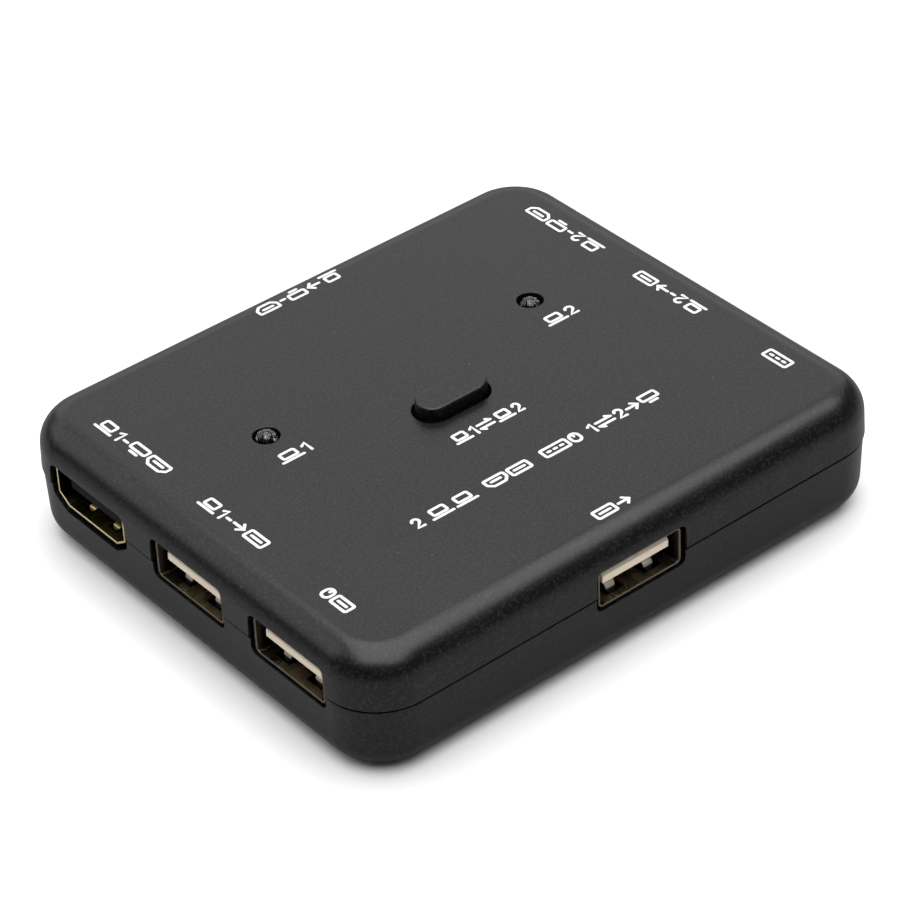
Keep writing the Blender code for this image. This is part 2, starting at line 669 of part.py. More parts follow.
def make_momentary_switch(parts, tools):
    half = SWITCH_SIDE / 2
    spot = (BUTTON_X, BUTTON_Y, 0)
    corners = rectangle(half, -half, half, 0.5 * MM)
    cup = prism("switch_base", rounded_outline(corners, 1), SWITCH_BASE_LOW, SWITCH_BASE_HIGH, "Z")
    base = add_object("switch_base", cup, parts, "dark_plastic")
    base.location = spot
    well = rod("switch_well", SWITCH_WELL_RADIUS, SWITCH_WELL_FLOOR, SWITCH_BASE_HIGH + 1 * MM)
    combine(base, well, "DIFFERENCE", tools)

    plate_low = SWITCH_BASE_HIGH + FIT
    sheet = prism("switch_plate", rounded_outline(corners, 1), plate_low, plate_low + PLATE_THICKNESS, "Z")
    plate = add_object("switch_plate", sheet, parts, "steel")
    plate.location = spot
    hole = rod("switch_plate_hole", PLATE_HOLE_RADIUS, plate_low - 1 * MM, plate_low + 1 * MM)
    combine(plate, hole, "DIFFERENCE", tools)

    edge = 0.2 * MM
    profile = [
        (0.0, PLUNGER_TOP), (PLUNGER_RADIUS - edge, PLUNGER_TOP), (PLUNGER_RADIUS, PLUNGER_TOP - edge),
        (PLUNGER_RADIUS, PLUNGER_FLANGE_HIGH), (PLUNGER_FLANGE_RADIUS, PLUNGER_FLANGE_HIGH),
        (PLUNGER_FLANGE_RADIUS, PLUNGER_FLANGE_LOW), (0.0, PLUNGER_FLANGE_LOW),
    ]
    profile = [(radius, height - PLUNGER_TOP) for radius, height in profile]
    plunger = turned("switch_plunger", profile, parts, "dark_plastic", 16)
    plunger.location = (BUTTON_X, BUTTON_Y, PLUNGER_TOP)

    make_snap_dome(parts).location = spot
    for index, (x, y) in enumerate(four_corners(SWITCH_LEAD_X, SWITCH_LEAD_Y), 1):
        lead = make_switch_lead(f"switch_lead_{index}", parts)
        lead.location = (BUTTON_X + x, BUTTON_Y + y, 0)
        lead.rotation_euler.z = 0.0 if x > 0 else math.pi


def make_snap_dome(parts):
    """A thin domed disc that stands on its rim in the switch's well."""
    low = SWITCH_WELL_FLOOR + FIT
    rings = 3
    upper = []
    lower = []
    for step in range(rings + 1):
        share = step / rings
        height = low + DOME_RISE * (1 - share ** 2)
        upper.append((DOME_RADIUS * share, height + DOME_THICKNESS))
        lower.append((DOME_RADIUS * share, height))
    return turned("switch_dome", [*upper, *reversed(lower)], parts, "steel", 12)


def make_switch_lead(name, parts):
    """A flat lead: out of the side of the base, then down through the board."""
    t = CONTACT_THICKNESS
    run = 0.25 * MM
    high = SWITCH_BASE_LOW + 1.2 * MM
    foot = BOARD_BOTTOM - LEAD_STICK_OUT
    outline = [(0, high - t), (run, high - t), (run, foot), (run + t, foot), (run + t, high), (0, high)]
    half = 0.35 * MM
    return add_object(name, prism(name, outline, -half, half, "Y"), parts, "steel")


# ---- sockets --------------------------------------------------------------------------

def socket_shell(kind, parts, tools):
    """A folded sheet tube with a leg on each side that goes down through the board."""
    corners = data_corners() if kind == "data" else video_corners()
    depth = DATA_DEPTH if kind == "data" else VIDEO_DEPTH
    half = (DATA_WIDTH if kind == "data" else VIDEO_WIDTH) / 2 - SHEET / 2
    outline = rounded_outline(corners)
    mesh = smooth(prism(kind + "_shell", outline, 0.0, depth, "Y"))
    shell = add_object(mesh.name, mesh, parts, "nickel" if kind == "data" else "gold_plate")
    bore = prism(kind + "_bore", rounded_outline(grown(corners, -SHEET)), -1 * MM, depth + 1 * MM, "Y")
    combine(shell, bore, "DIFFERENCE", tools)
    start = LEG_DEPTHS[kind]
    thick = LEG_THICKNESS / 2
    for hand, middle in (("a", -half), ("b", half)):
        leg = box(f"{kind}_leg_{hand}", (middle - thick, start, LEG_LOW),
                  (middle + thick, start + LEG_WIDTH, SPLIT))
        combine(shell, leg, "UNION", tools)
    return baked(shell)


def data_insert(parts, tools):
    """A cream block that closes the back of the shell and carries the tongue."""
    inner = grown(data_corners(), -SHEET - FIT)
    block = prism("data_insert", rounded_outline(inner, 2), DATA_BLOCK_START, DATA_DEPTH - FIT, "Y")
    insert = add_object(block.name, block, parts, "cream_plastic")
    high = DATA_HIGH - SHEET - DATA_TONGUE_DROP
    low = high - DATA_TONGUE_THICKNESS
    half = DATA_TONGUE_WIDTH / 2
    nose = 0.35 * MM
    end = DATA_BLOCK_START + 1 * MM
    side = [(DATA_TONGUE_START + nose, low), (end, low), (end, high),
            (DATA_TONGUE_START, high), (DATA_TONGUE_START, low + nose)]
    combine(insert, prism("data_tongue", side, -half, half, "X"), "UNION", tools)
    slot_half = DATA_CONTACTS[-1] + DATA_CONTACT_WIDTH / 2 + FIT
    slot_low = low - 2 * FIT - CONTACT_THICKNESS
    slot = box("data_slot", (-slot_half, DATA_BLOCK_START - 1 * MM, slot_low),
               (slot_half, DATA_DEPTH + 1 * MM, low))
    combine(insert, slot, "DIFFERENCE", tools)
    return baked(insert)


def data_contacts(parts, tools):
    """Four spring strips under the tongue, on the carrier that they are stamped from."""
    t = CONTACT_THICKNESS
    high = DATA_HIGH - SHEET - DATA_TONGUE_DROP - DATA_TONGUE_THICKNESS - FIT
    tip = DATA_TONGUE_START + 1.0 * MM
    back = DATA_DEPTH + GAP
    foot = BOARD_TOP + FIT
    side = [
        (tip, high), (tip, high - t), (back, high - t), (back, foot),
        (back + 1.2 * MM, foot), (back + 1.2 * MM, foot + t), (back + t, foot + t), (back + t, high),
    ]
    half = DATA_CONTACT_WIDTH / 2
    reach = DATA_CONTACTS[-1]
    middle = (foot + high) / 2
    bar = box("data_contacts", (-reach, back - FIT, middle), (reach, back + t + FIT, middle + 0.6 * MM))
    carrier = add_object(bar.name, bar, parts, "gold_plate")
    for index, x in enumerate(DATA_CONTACTS, 1):
        combine(carrier, prism(f"data_contact_{index}", side, x - half, x + half, "X"), "UNION", tools)
    return baked(carrier)


def video_insert(parts, tools):
    """A black block in the back of the shell, with a thin tongue."""
    inner = grown(video_corners(), -SHEET - FIT)
    block = prism("video_insert", rounded_outline(inner, 2), VIDEO_BLOCK_START, VIDEO_DEPTH - FIT, "Y")
    insert = add_object(block.name, block, parts, "dark_plastic")
    half = VIDEO_TONGUE_WIDTH / 2
    nose = 0.3 * MM
    low, high = VIDEO_TONGUE_LOW, VIDEO_TONGUE_HIGH
    end = VIDEO_BLOCK_START + 1 * MM
    start = VIDEO_TONGUE_START
    side = [(start + nose, low), (end, low), (end, high), (start + nose, high),
            (start, high - nose), (start, low + nose)]
    combine(insert, prism("video_tongue", side, -half, half, "X"), "UNION", tools)
    slot_half = VIDEO_PITCH * (VIDEO_UPPER_COUNT - 1) / 2 + VIDEO_CONTACT_WIDTH
    room = CONTACT_THICKNESS + 2 * FIT
    for label, slot_low in (("lower", low - room), ("upper", high)):
        slot = box(f"video_slot_{label}", (-slot_half, VIDEO_BLOCK_START - 1 * MM, slot_low),
                   (slot_half, VIDEO_DEPTH + 1 * MM, slot_low + room))
        combine(insert, slot, "DIFFERENCE", tools)
    return baked(insert)


def video_contacts(parts, tools):
    """Ten contacts above the tongue and nine below it, on one carrier strip."""
    t = CONTACT_THICKNESS
    tip = VIDEO_TONGUE_START + 0.8 * MM
    root = VIDEO_DEPTH + FIT
    above = VIDEO_TONGUE_HIGH + FIT
    below = VIDEO_TONGUE_LOW - FIT - t
    reach = VIDEO_PITCH * VIDEO_UPPER_COUNT / 2
    strip = box("video_contacts", (-reach, root, BOARD_TOP + FIT), (reach, root + t, above + t + FIT))
    carrier = add_object(strip.name, strip, parts, "gold_plate")
    half = VIDEO_CONTACT_WIDTH / 2
    for label, count, low in (("upper", VIDEO_UPPER_COUNT, above), ("lower", VIDEO_LOWER_COUNT, below)):
        for index in range(count):
            x = VIDEO_PITCH * (index - (count - 1) / 2)
            finger = box(f"video_{label}_{index}", (x - half, tip, low), (x + half, root + t / 2, low + t))
            combine(carrier, finger, "UNION", tools)
    return baked(carrier)


def make_sockets(parts, tools):
    meshes = {
        "data": (socket_shell("data", parts, tools), data_insert(parts, tools), data_contacts(parts, tools)),
        "video": (socket_shell("video", parts, tools), video_insert(parts, tools),
                  video_contacts(parts, tools)),
    }
    for name, (kind, side, along) in SOCKETS.items():
        for piece, mesh in zip(("shell", "insert", "contacts"), meshes[kind]):
            copy = add_object(f"{name}_{piece}", mesh, parts)
            copy.matrix_basis = seat(side, along)


def build():
    clear_scene()
    parts = collection("desktop_switch_box")
    tools = collection("cutters")
    make_top_cover(parts, tools)
    make_bottom_cover(parts, tools)
    make_screws(parts, tools)
    make_feet(parts)
    make_board(parts, tools)
    make_chips(parts)
    make_capacitors(parts)
    make_lamps(parts, tools)
    make_button(parts, tools)
    make_momentary_switch(parts, tools)
    make_sockets(parts, tools)


build()
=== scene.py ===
"""A desktop switch box that shares one screen, keyboard and mouse between two computers.

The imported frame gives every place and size. The visible pieces are made here in the order
in which the box is put together, from the lower cover up to the printing on the top.
"""

from math import copysign, cos, pi, radians, sin, tan, tau

import bmesh
import bpy
from mathutils import Matrix, Vector


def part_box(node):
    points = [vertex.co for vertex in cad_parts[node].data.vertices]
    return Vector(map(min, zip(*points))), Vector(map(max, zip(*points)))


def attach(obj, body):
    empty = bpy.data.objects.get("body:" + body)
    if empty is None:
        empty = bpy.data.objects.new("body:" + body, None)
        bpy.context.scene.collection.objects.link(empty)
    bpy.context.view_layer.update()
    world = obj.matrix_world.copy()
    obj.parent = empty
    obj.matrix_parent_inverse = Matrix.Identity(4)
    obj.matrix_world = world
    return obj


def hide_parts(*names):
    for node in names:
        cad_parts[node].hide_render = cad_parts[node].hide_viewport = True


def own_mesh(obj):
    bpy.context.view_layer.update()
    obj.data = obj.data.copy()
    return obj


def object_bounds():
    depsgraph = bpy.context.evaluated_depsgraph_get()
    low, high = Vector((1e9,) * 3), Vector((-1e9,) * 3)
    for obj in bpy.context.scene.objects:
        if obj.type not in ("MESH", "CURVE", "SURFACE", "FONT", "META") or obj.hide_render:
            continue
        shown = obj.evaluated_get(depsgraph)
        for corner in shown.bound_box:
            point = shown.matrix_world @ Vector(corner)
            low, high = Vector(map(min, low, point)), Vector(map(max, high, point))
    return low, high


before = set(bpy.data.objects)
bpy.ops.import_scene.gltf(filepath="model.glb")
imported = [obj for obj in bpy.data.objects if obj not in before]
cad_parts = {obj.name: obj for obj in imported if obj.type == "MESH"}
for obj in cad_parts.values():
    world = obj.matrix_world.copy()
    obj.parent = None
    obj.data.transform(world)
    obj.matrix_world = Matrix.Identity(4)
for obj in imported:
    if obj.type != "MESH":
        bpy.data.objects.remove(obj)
cad_low, cad_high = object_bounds()


# ---- lower cover ----
# The lower half of the case is an injection moulding in black ABS with a fine spark-eroded
# grain. It has a floor, a raised lip that locates the upper half, four hollow posts for the
# screws, four round pockets for the feet and the lower half of every socket opening.

MM = 0.001
TINY = 0.01 * MM
WALL = 2.0 * MM
CLEARANCE = 0.3 * MM
LIP_RISE = 1.0 * MM
LIP_DEPTH = 2.0 * MM
LIP_THICKNESS = 0.8 * MM
CASE_CORNER = 8.2 * MM
COVER_DRAFT = 0.25 * MM
BASE_FILLET = 3.5 * MM
POST_RADIUS = 3.4 * MM
SCREW_BORE = 1.6 * MM
SCREW_SEAT = 2.9 * MM
HEAD_ROOM = 2.8 * MM
FOOT_POCKET = 4.3 * MM
PARTING_GAP = 0.40 * MM
PARTING_EDGE = 0.12 * MM
ROUND_STEPS = 20
FILLET_STEPS = 12

base_low, base_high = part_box("bottom_cover")
top_low, top_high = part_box("top_cover")
board_low, board_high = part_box("circuit_board")
split = base_high.z - LIP_RISE
base_size = (base_high.x - base_low.x, base_high.y - base_low.y)
case_size = (top_high.x - top_low.x, top_high.y - top_low.y)


def add_node(tree, kind, inputs=None, **settings):
    """A shader node with its settings, and with each input wired to a socket or set to a value."""
    made = tree.nodes.new("ShaderNode" + kind)
    for key, value in settings.items():
        setattr(made, key, value)
    for key, value in (inputs or {}).items():
        if isinstance(value, bpy.types.NodeSocket):
            tree.links.new(value, made.inputs[key])
        else:
            made.inputs[key].default_value = value
    return made


def maths(tree, operation, first, second=0.0):
    return add_node(tree, "Math", {0: first, 1: second}, operation=operation).outputs[0]


def ranged(tree, value, low, high, to_low=0.0, to_high=1.0):
    """A value spread from one range to another, held inside the new one."""
    limits = {"From Min": low, "From Max": high, "To Min": to_low, "To Max": to_high}
    return add_node(tree, "MapRange", {"Value": value, **limits}).outputs["Result"]


def blended(tree, share, first, second):
    """Two colours mixed by a varying share."""
    made = add_node(tree, "Mix", data_type="RGBA")
    for index, value in ((0, share), (6, first), (7, second)):
        if isinstance(value, bpy.types.NodeSocket):
            tree.links.new(value, made.inputs[index])
        else:
            made.inputs[index].default_value = (*value, 1)
    return made.outputs[2]


def local_place(tree):
    return add_node(tree, "TexCoord").outputs["Object"]


def noise(tree, place, scale, detail, roughness=0.5):
    inputs = {"Vector": place, "Scale": scale, "Detail": detail, "Roughness": roughness}
    return add_node(tree, "TexNoise", inputs).outputs["Fac"]


def wire(tree, sockets, **sources):
    """Lead each source to the socket of the same name."""
    for key, source in sources.items():
        tree.links.new(source, sockets[key.replace("_", " ")])


def new_group(name, inputs, outputs):
    """An empty node group: its tree, its named inputs with their defaults, and its named outputs."""
    tree = bpy.data.node_groups.new(name, "ShaderNodeTree")
    for label, value in inputs.items():
        socket = tree.interface.new_socket(label, in_out="INPUT", socket_type="NodeSocketFloat")
        socket.default_value = value
    for label in outputs:
        tree.interface.new_socket(label, in_out="OUTPUT", socket_type="NodeSocketFloat")
    return tree, tree.nodes.new("NodeGroupInput").outputs, tree.nodes.new("NodeGroupOutput").inputs


def make_mould_grain():
    """Fine pits left by a spark-eroded mould, with the slow changes of gloss of a moulding."""
    tree, given, result = new_group("mould_grain", {"Scale": 6500.0}, ["Height", "Fleck", "Gloss"])
    place = local_place(tree)
    fine = noise(tree, place, given["Scale"], 3.0, 0.6)
    pits = add_node(tree, "TexVoronoi", {"Vector": place, "Scale": given["Scale"]}, feature="SMOOTH_F1")
    deep = maths(tree, "MULTIPLY", pits.outputs["Distance"], 0.5)
    wire(tree, result, Height=maths(tree, "ADD", fine, deep), Fleck=ranged(tree, fine, 0.50, 0.66),
         Gloss=ranged(tree, noise(tree, place, 55.0, 4.0), 0.3, 0.7))
    return tree


def make_rubbed_edges():
    """Where handling has polished the edges: strongest on sharp ones, and broken up."""
    tree, given, result = new_group("rubbed_edges", {"Radius": 0.25 * MM, "Patch": 900.0}, ["Mask"])
    place = local_place(tree)
    rounded = add_node(tree, "Bevel", {"Radius": given["Radius"]}, samples=4)
    true = add_node(tree, "NewGeometry").outputs["Normal"]
    facing = add_node(tree, "VectorMath", {0: rounded.outputs[0], 1: true}, operation="DOT_PRODUCT")
    bent = ranged(tree, facing.outputs["Value"], 0.99, 0.80)
    patchy = ranged(tree, noise(tree, place, given["Patch"], 3.0), 0.35, 0.65, 0.35, 1.0)
    wire(tree, result, Mask=maths(tree, "MULTIPLY", bent, patchy))
    return tree


def make_dust():
    """Stray specks of pale dust, most of them in loose clusters."""
    tree, given, result = new_group("dust", {"Scale": 1400.0, "Amount": 0.03}, ["Mask"])
    place = local_place(tree)
    cells = add_node(tree, "TexVoronoi", {"Vector": place, "Scale": given["Scale"]})
    lot = add_node(tree, "SeparateColor", {0: cells.outputs["Color"]})
    clumps = ranged(tree, noise(tree, place, 70.0, 2.0), 0.45, 0.75, 0.1, 3.0)
    share = maths(tree, "MULTIPLY", given["Amount"], clumps)
    chosen = maths(tree, "LESS_THAN", lot.outputs[0], share)
    spot = ranged(tree, cells.outputs["Distance"], 0.16, 0.08)
    wire(tree, result, Mask=maths(tree, "MULTIPLY", chosen, spot))
    return tree


mould_grain = make_mould_grain()
rubbed_edges = make_rubbed_edges()
dust = make_dust()


def new_material(name, **plain):
    """A material, its tree and its shader, with uniform values set on the shader's sockets."""
    made = bpy.data.materials.new(name)
    made.use_nodes = True
    shader = made.node_tree.nodes["Principled BSDF"]
    for key, value in plain.items():
        shader.inputs[key.replace("_", " ")].default_value = value
    return made, made.node_tree, shader


def place_group(tree, group, **values):
    made = tree.nodes.new("ShaderNodeGroup")
    made.node_tree = group
    for key, value in values.items():
        made.inputs[key].default_value = value
    return made.outputs


def finish(tree, shader, colour, rough, height, strength, depth):
    """Lead the varying colour, roughness and relief to the shader."""
    bump = add_node(tree, "Bump", {"Height": height, "Strength": strength, "Distance": depth})
    wire(tree, shader.inputs, Base_Color=colour, Roughness=rough, Normal=bump.outputs["Normal"])


def make_moulded_plastic(name, colour, fleck, worn, roughness, grain, depth, specks):
    """Moulded plastic: grained, a little uneven in gloss, rubbed at its edges, with some dust."""
    made, tree, shader = new_material(name, IOR=1.5, Specular_IOR_Level=0.45)
    surface = place_group(tree, mould_grain, Scale=grain)
    edges = place_group(tree, rubbed_edges)["Mask"]
    dusty = place_group(tree, dust, Amount=specks)["Mask"]
    grained = blended(tree, surface["Fleck"], colour, fleck)
    body = blended(tree, maths(tree, "MULTIPLY", edges, 0.5), grained, worn)
    dusted = blended(tree, dusty, body, (0.15, 0.145, 0.14))
    sheen = ranged(tree, surface["Gloss"], 0.0, 1.0, roughness - 0.03, roughness + 0.04)
    polished = maths(tree, "ADD", sheen, maths(tree, "MULTIPLY", edges, -0.08))
    rough = maths(tree, "ADD", polished, maths(tree, "MULTIPLY", dusty, 0.3))
    finish(tree, shader, dusted, rough, surface["Height"], 0.3, depth)
    return made


case_black = make_moulded_plastic(
    "case_black", (0.0010, 0.0010, 0.0011), (0.0148, 0.0148, 0.0170), (0.014, 0.014, 0.015),
    0.32, 2600.0, 0.020 * MM, 0.002)


def rounded_outline(corners, steps=8):
    """Closed outline through corners (u, v, radius), each rounded by an arc."""
    points = []
    for index, (u, v, radius) in enumerate(corners):
        here = Vector((u, v))
        back = (Vector(corners[index - 1][:2]) - here).normalized()
        ahead = (Vector(corners[(index + 1) % len(corners)][:2]) - here).normalized()
        half_angle = back.angle(ahead) / 2
        centre = here + (back + ahead).normalized() * radius / sin(half_angle)
        start = here + back * radius / tan(half_angle) - centre
        end = here + ahead * radius / tan(half_angle) - centre
        turn = start.angle_signed(end)
        for step in range(steps + 1):
            points.append(tuple(centre + Matrix.Rotation(-turn * step / steps, 2) @ start))
    return points


def rectangle(half_u, low, high, radius):
    return [(-half_u, low, radius), (half_u, low, radius), (half_u, high, radius), (-half_u, high, radius)]


def grown(corners, distance):
    """The same corners with every side moved outwards, or inwards when negative."""
    moved = []
    for index, (u, v, radius) in enumerate(corners):
        here = Vector((u, v))
        arrive = (here - Vector(corners[index - 1][:2])).normalized()
        leave = (Vector(corners[(index + 1) % len(corners)][:2]) - here).normalized()
        out_a = Vector((arrive.y, -arrive.x))
        out_b = Vector((leave.y, -leave.x))
        shift = (out_a + out_b) * distance / (1 + out_a.dot(out_b))
        moved.append((u + shift.x, v + shift.y, max(radius + distance, TINY)))
    return moved


def ring(outline, depth, axis="Y"):
    """A flat outline set across an axis at a depth along it."""
    if axis == "X":
        return [(depth, u, v) for u, v in outline]
    if axis == "Y":
        return [(u, depth, v) for u, v in outline]
    return [(u, v, depth) for u, v in outline]


def to_mesh(name, bm):
    bmesh.ops.recalc_face_normals(bm, faces=bm.faces)
    mesh = bpy.data.meshes.new(name)
    bm.to_mesh(mesh)
    bm.free()
    return mesh


def skin(name, rings, joined=False):
    """A closed mesh through rings of equal length. Joined, the last ring meets the first as in a tube."""
    bm = bmesh.new()
    loops = [[bm.verts.new(point) for point in one] for one in rings]
    count = len(loops[0])
    pairs = list(zip(loops, loops[1:]))
    if joined:
        pairs.append((loops[-1], loops[0]))
    else:
        bm.faces.new(loops[0])
        bm.faces.new(loops[-1])
    for near, far in pairs:
        for index in range(count):
            after = (index + 1) % count
            bm.faces.new((near[index], near[after], far[after], far[index]))
    return to_mesh(name, bm)


def oblong(low, high):
    return [(low[0], low[1]), (high[0], low[1]), (high[0], high[1]), (low[0], high[1])]


def block(name, low, high):
    return skin(name, [ring(oblong(low, high), z, "Z") for z in (low[2], high[2])])


def circle(radius, x=0.0, y=0.0, steps=48):
    return [(x + radius * cos(tau * i / steps), y + radius * sin(tau * i / steps))
            for i in range(steps)]


def rod(name, radius, low, high, x=0.0, y=0.0):
    return skin(name, [ring(circle(radius, x, y), z, "Z") for z in (low, high)])


def squared(low, high):
    """A plain block that is still open to bevels."""
    bm = bmesh.new()
    bmesh.ops.create_cube(bm, size=1.0)
    bmesh.ops.scale(bm, vec=Vector(high) - Vector(low), verts=bm.verts)
    bmesh.ops.translate(bm, vec=(Vector(high) + Vector(low)) / 2, verts=bm.verts)
    return bm


def bevel(bm, edges, offset, segments):
    bmesh.ops.bevel(bm, geom=edges, offset=offset, segments=segments, profile=0.5, affect="EDGES")


def soft_block(name, size, low, high, corner, fillet=0.0, soft_end="top", draft=0.0, edge=0.0):
    """A block with round upright corners, one softened end, draft towards it, and a broken far edge."""
    end, other = (high, low) if soft_end == "top" else (low, high)
    bm = squared((-size[0] / 2, -size[1] / 2, low), (size[0] / 2, size[1] / 2, high))
    upright = [e for e in bm.edges if abs(e.verts[0].co.z - e.verts[1].co.z) > TINY]
    bevel(bm, upright, corner, ROUND_STEPS)
    soft = [v for v in bm.verts if abs(v.co.z - end) < TINY]
    bmesh.ops.scale(bm, vec=(1 - 2 * draft / size[0], 1 - 2 * draft / size[1], 1), verts=soft)
    for height, radius, steps in ((end, fillet, FILLET_STEPS), (other, edge, 3)):
        if radius > 0:
            rim = [e for e in bm.edges if all(abs(v.co.z - height) < TINY for v in e.verts)]
            bevel(bm, rim, radius, steps)
    return to_mesh(name, bm)


def link(name, mesh):
    obj = bpy.data.objects.new(name, mesh)
    bpy.context.scene.collection.objects.link(obj)
    return obj


def cut(mesh):
    return "DIFFERENCE", mesh


def join(mesh):
    return "UNION", mesh


def shaped(name, mesh, *steps):
    """The mesh after each step, which cuts another mesh out of it or joins one to it."""
    body = link(name, mesh)
    tools = []
    for operation, tool_mesh in steps:
        tool = link("tool", tool_mesh)
        change = body.modifiers.new(operation, "BOOLEAN")
        change.operation = operation
        change.solver = "EXACT"
        change.object = tool
        tools.append(tool)
    bpy.context.view_layer.update()
    made = bpy.data.meshes.new_from_object(body.evaluated_get(bpy.context.evaluated_depsgraph_get()))
    made.name = name
    for used in [*tools, body]:
        bpy.data.objects.remove(used, do_unlink=True)
    return made


def at(x, y):
    return Matrix.Translation((x, y, 0))


def add_piece(name, mesh, material, slot, stands_for, body="housing", crisp=32.0, place=None):
    """A finished piece: shaded, coloured, and riding on its body in place of CAD nodes."""
    mesh.materials.clear()
    mesh.materials.append(material)
    mesh.shade_smooth()
    mesh.set_sharp_from_angle(angle=radians(crisp))
    piece = link(name, mesh)
    if place is not None:
        piece.matrix_world = place
    flat = piece.modifiers.new("flat_faces", "WEIGHTED_NORMAL")
    flat.keep_sharp = True
    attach(piece, body)
    if stands_for:
        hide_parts(*stands_for)
    return piece


def centre_of(node):
    low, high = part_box(node)
    return (low + high) / 2


SOCKETS = {
    "video_1_socket": "left", "data_1_socket": "left", "mouse_socket": "left",
    "video_2_socket": "right", "data_2_socket": "right", "keyboard_socket": "right",
    "hub_socket": "front", "monitor_socket": "rear",
}
DATA_WIDTH = 13.1 * MM
DATA_LOW = split - 2.0 * MM
DATA_HIGH = split + 3.7 * MM
VIDEO_HALF = 7.5 * MM
VIDEO_FOOT = 5.45 * MM
VIDEO_LOW = split - 2.5 * MM
VIDEO_KNEE = split - 1.1 * MM
VIDEO_HIGH = split + 3.05 * MM
VIDEO_CORNER = 0.5 * MM
MOUTH_GAP = 0.8 * MM
MOUTH_TOP = split + 3.36 * MM
MOUTH_FACE = -0.56 * MM
MOUTH_EDGE = 0.10 * MM


def kind_of(socket):
    return "video" if socket.startswith(("video", "monitor")) else "data"


def seat(name):
    """A socket's place: its local -Y looks out of the case from the middle of its metal rim."""
    low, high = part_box(name + "_shell")
    middle = (low + high) / 2
    spots = {"front": (middle.x, low.y, 0.0), "right": (high.x, middle.y, 90.0),
             "rear": (middle.x, high.y, 180.0), "left": (low.x, middle.y, -90.0)}
    x, y, turn = spots[SOCKETS[name]]
    return at(x, y) @ Matrix.Rotation(radians(turn), 4, "Z")


# Each kind of shell as its corners (u, v, radius), from the foot to the top
SHELL_CORNERS = {
    "data": rectangle(DATA_WIDTH / 2, DATA_LOW, DATA_HIGH, 0.8 * MM),
    "video": [(u, v, VIDEO_CORNER) for u, v in (
        (-VIDEO_FOOT, VIDEO_LOW), (VIDEO_FOOT, VIDEO_LOW), (VIDEO_HALF, VIDEO_KNEE),
        (VIDEO_HALF, VIDEO_HIGH), (-VIDEO_HALF, VIDEO_HIGH), (-VIDEO_HALF, VIDEO_KNEE))],
}
# The openings in the case: the video one stops short of its gap at the top
MOUTH_CORNERS = {
    "data": rectangle(7.5 * MM, split - 2.3 * MM, split + 3.98 * MM, 1.0 * MM),
    "video": [(u, min(v, MOUTH_TOP), radius) for u, v, radius in grown(SHELL_CORNERS["video"], MOUTH_GAP)],
}


def flare(edge, stretch=1.0):
    """The steps of a hole's round edge: how far each stands off the hole, and how far below the face."""
    for turn in (0, 22.5, 45, 67.5, 90):
        yield edge * (1 - sin(radians(turn))), stretch * edge * (1 - cos(radians(turn)))


def mouth_tool(name):
    """The cutter for one socket's opening; it flares at the outer face, so the edge comes out round."""
    corners = MOUTH_CORNERS[kind_of(name)]
    rings = [ring(rounded_outline(grown(corners, MOUTH_EDGE)), -3.0 * MM)]
    for spread, depth in flare(MOUTH_EDGE, 4.0):
        rings.append(ring(rounded_outline(grown(corners, spread)), MOUTH_FACE + depth))
    rings.append(ring(rounded_outline(corners), 5.0 * MM))
    mesh = skin("mouth", rings)
    mesh.transform(seat(name))
    return mesh


def mouth_cuts():
    return [cut(mouth_tool(name)) for name in SOCKETS]


screw_spots = [centre_of(f"cover_screw_{n}").to_2d() for n in (1, 2, 3, 4)]
foot_spots = [centre_of(f"rubber_foot_{n}").to_2d() for n in (1, 2, 3, 4)]


def lower_cover():
    floor = base_low.z + WALL
    lip_low = split - LIP_DEPTH - 1 * MM
    lip_out = WALL + CLEARANCE
    lip_in = lip_out + LIP_THICKNESS
    below = base_low.z - 1 * MM
    outer = soft_block("lower", base_size, base_low.z, split - PARTING_GAP / 2, CASE_CORNER - 0.2 * MM,
                       BASE_FILLET, "base", COVER_DRAFT, PARTING_EDGE)
    wide = [side - 2 * lip_out for side in case_size]
    throat = [side - 2 * lip_in for side in case_size]
    room = [side - 2 * WALL for side in base_size]
    steps = [
        join(soft_block("lip", wide, lip_low, split + LIP_RISE, CASE_CORNER - lip_out)),
        cut(soft_block("room", room, floor, split - LIP_DEPTH, CASE_CORNER - 0.2 * MM - WALL,
                       BASE_FILLET - WALL, "base", COVER_DRAFT)),
        cut(soft_block("throat", throat, lip_low, split + 5 * MM, CASE_CORNER - lip_in)),
    ]
    for x, y in screw_spots:
        steps += [join(rod("post", POST_RADIUS, floor - 1 * MM, board_low.z - CLEARANCE, x, y)),
                  cut(rod("bore", SCREW_BORE, below, board_low.z + 1 * MM, x, y)),
                  cut(rod("recess", HEAD_ROOM, below, SCREW_SEAT, x, y))]
    for x, y in foot_spots:
        steps.append(cut(rod("pocket", FOOT_POCKET, below, base_low.z + 0.8 * MM, x, y)))
    return shaped("lower_cover", outer, *steps, *mouth_cuts())


add_piece("lower_cover", lower_cover(), case_black, "case_plastic", ["bottom_cover"])


# ---- rubber feet ----
# Four self-adhesive discs punched from black rubber sheet. Each one is pressed into its
# pocket in the floor, and its edge has crept a little outwards under the weight.

def make_rubber():
    made, tree, shader = new_material("foot_rubber", IOR=1.52)
    surface = place_group(tree, mould_grain, Scale=2600.0)
    scuffs = place_group(tree, rubbed_edges, Radius=0.4 * MM, Patch=500.0)["Mask"]
    scuffed = blended(tree, scuffs, (0.012, 0.012, 0.012), (0.05, 0.048, 0.045))
    rough = ranged(tree, surface["Gloss"], 0.0, 1.0, 0.72, 0.9)
    finish(tree, shader, scuffed, rough, surface["Height"], 0.4, 0.04 * MM)
    return made


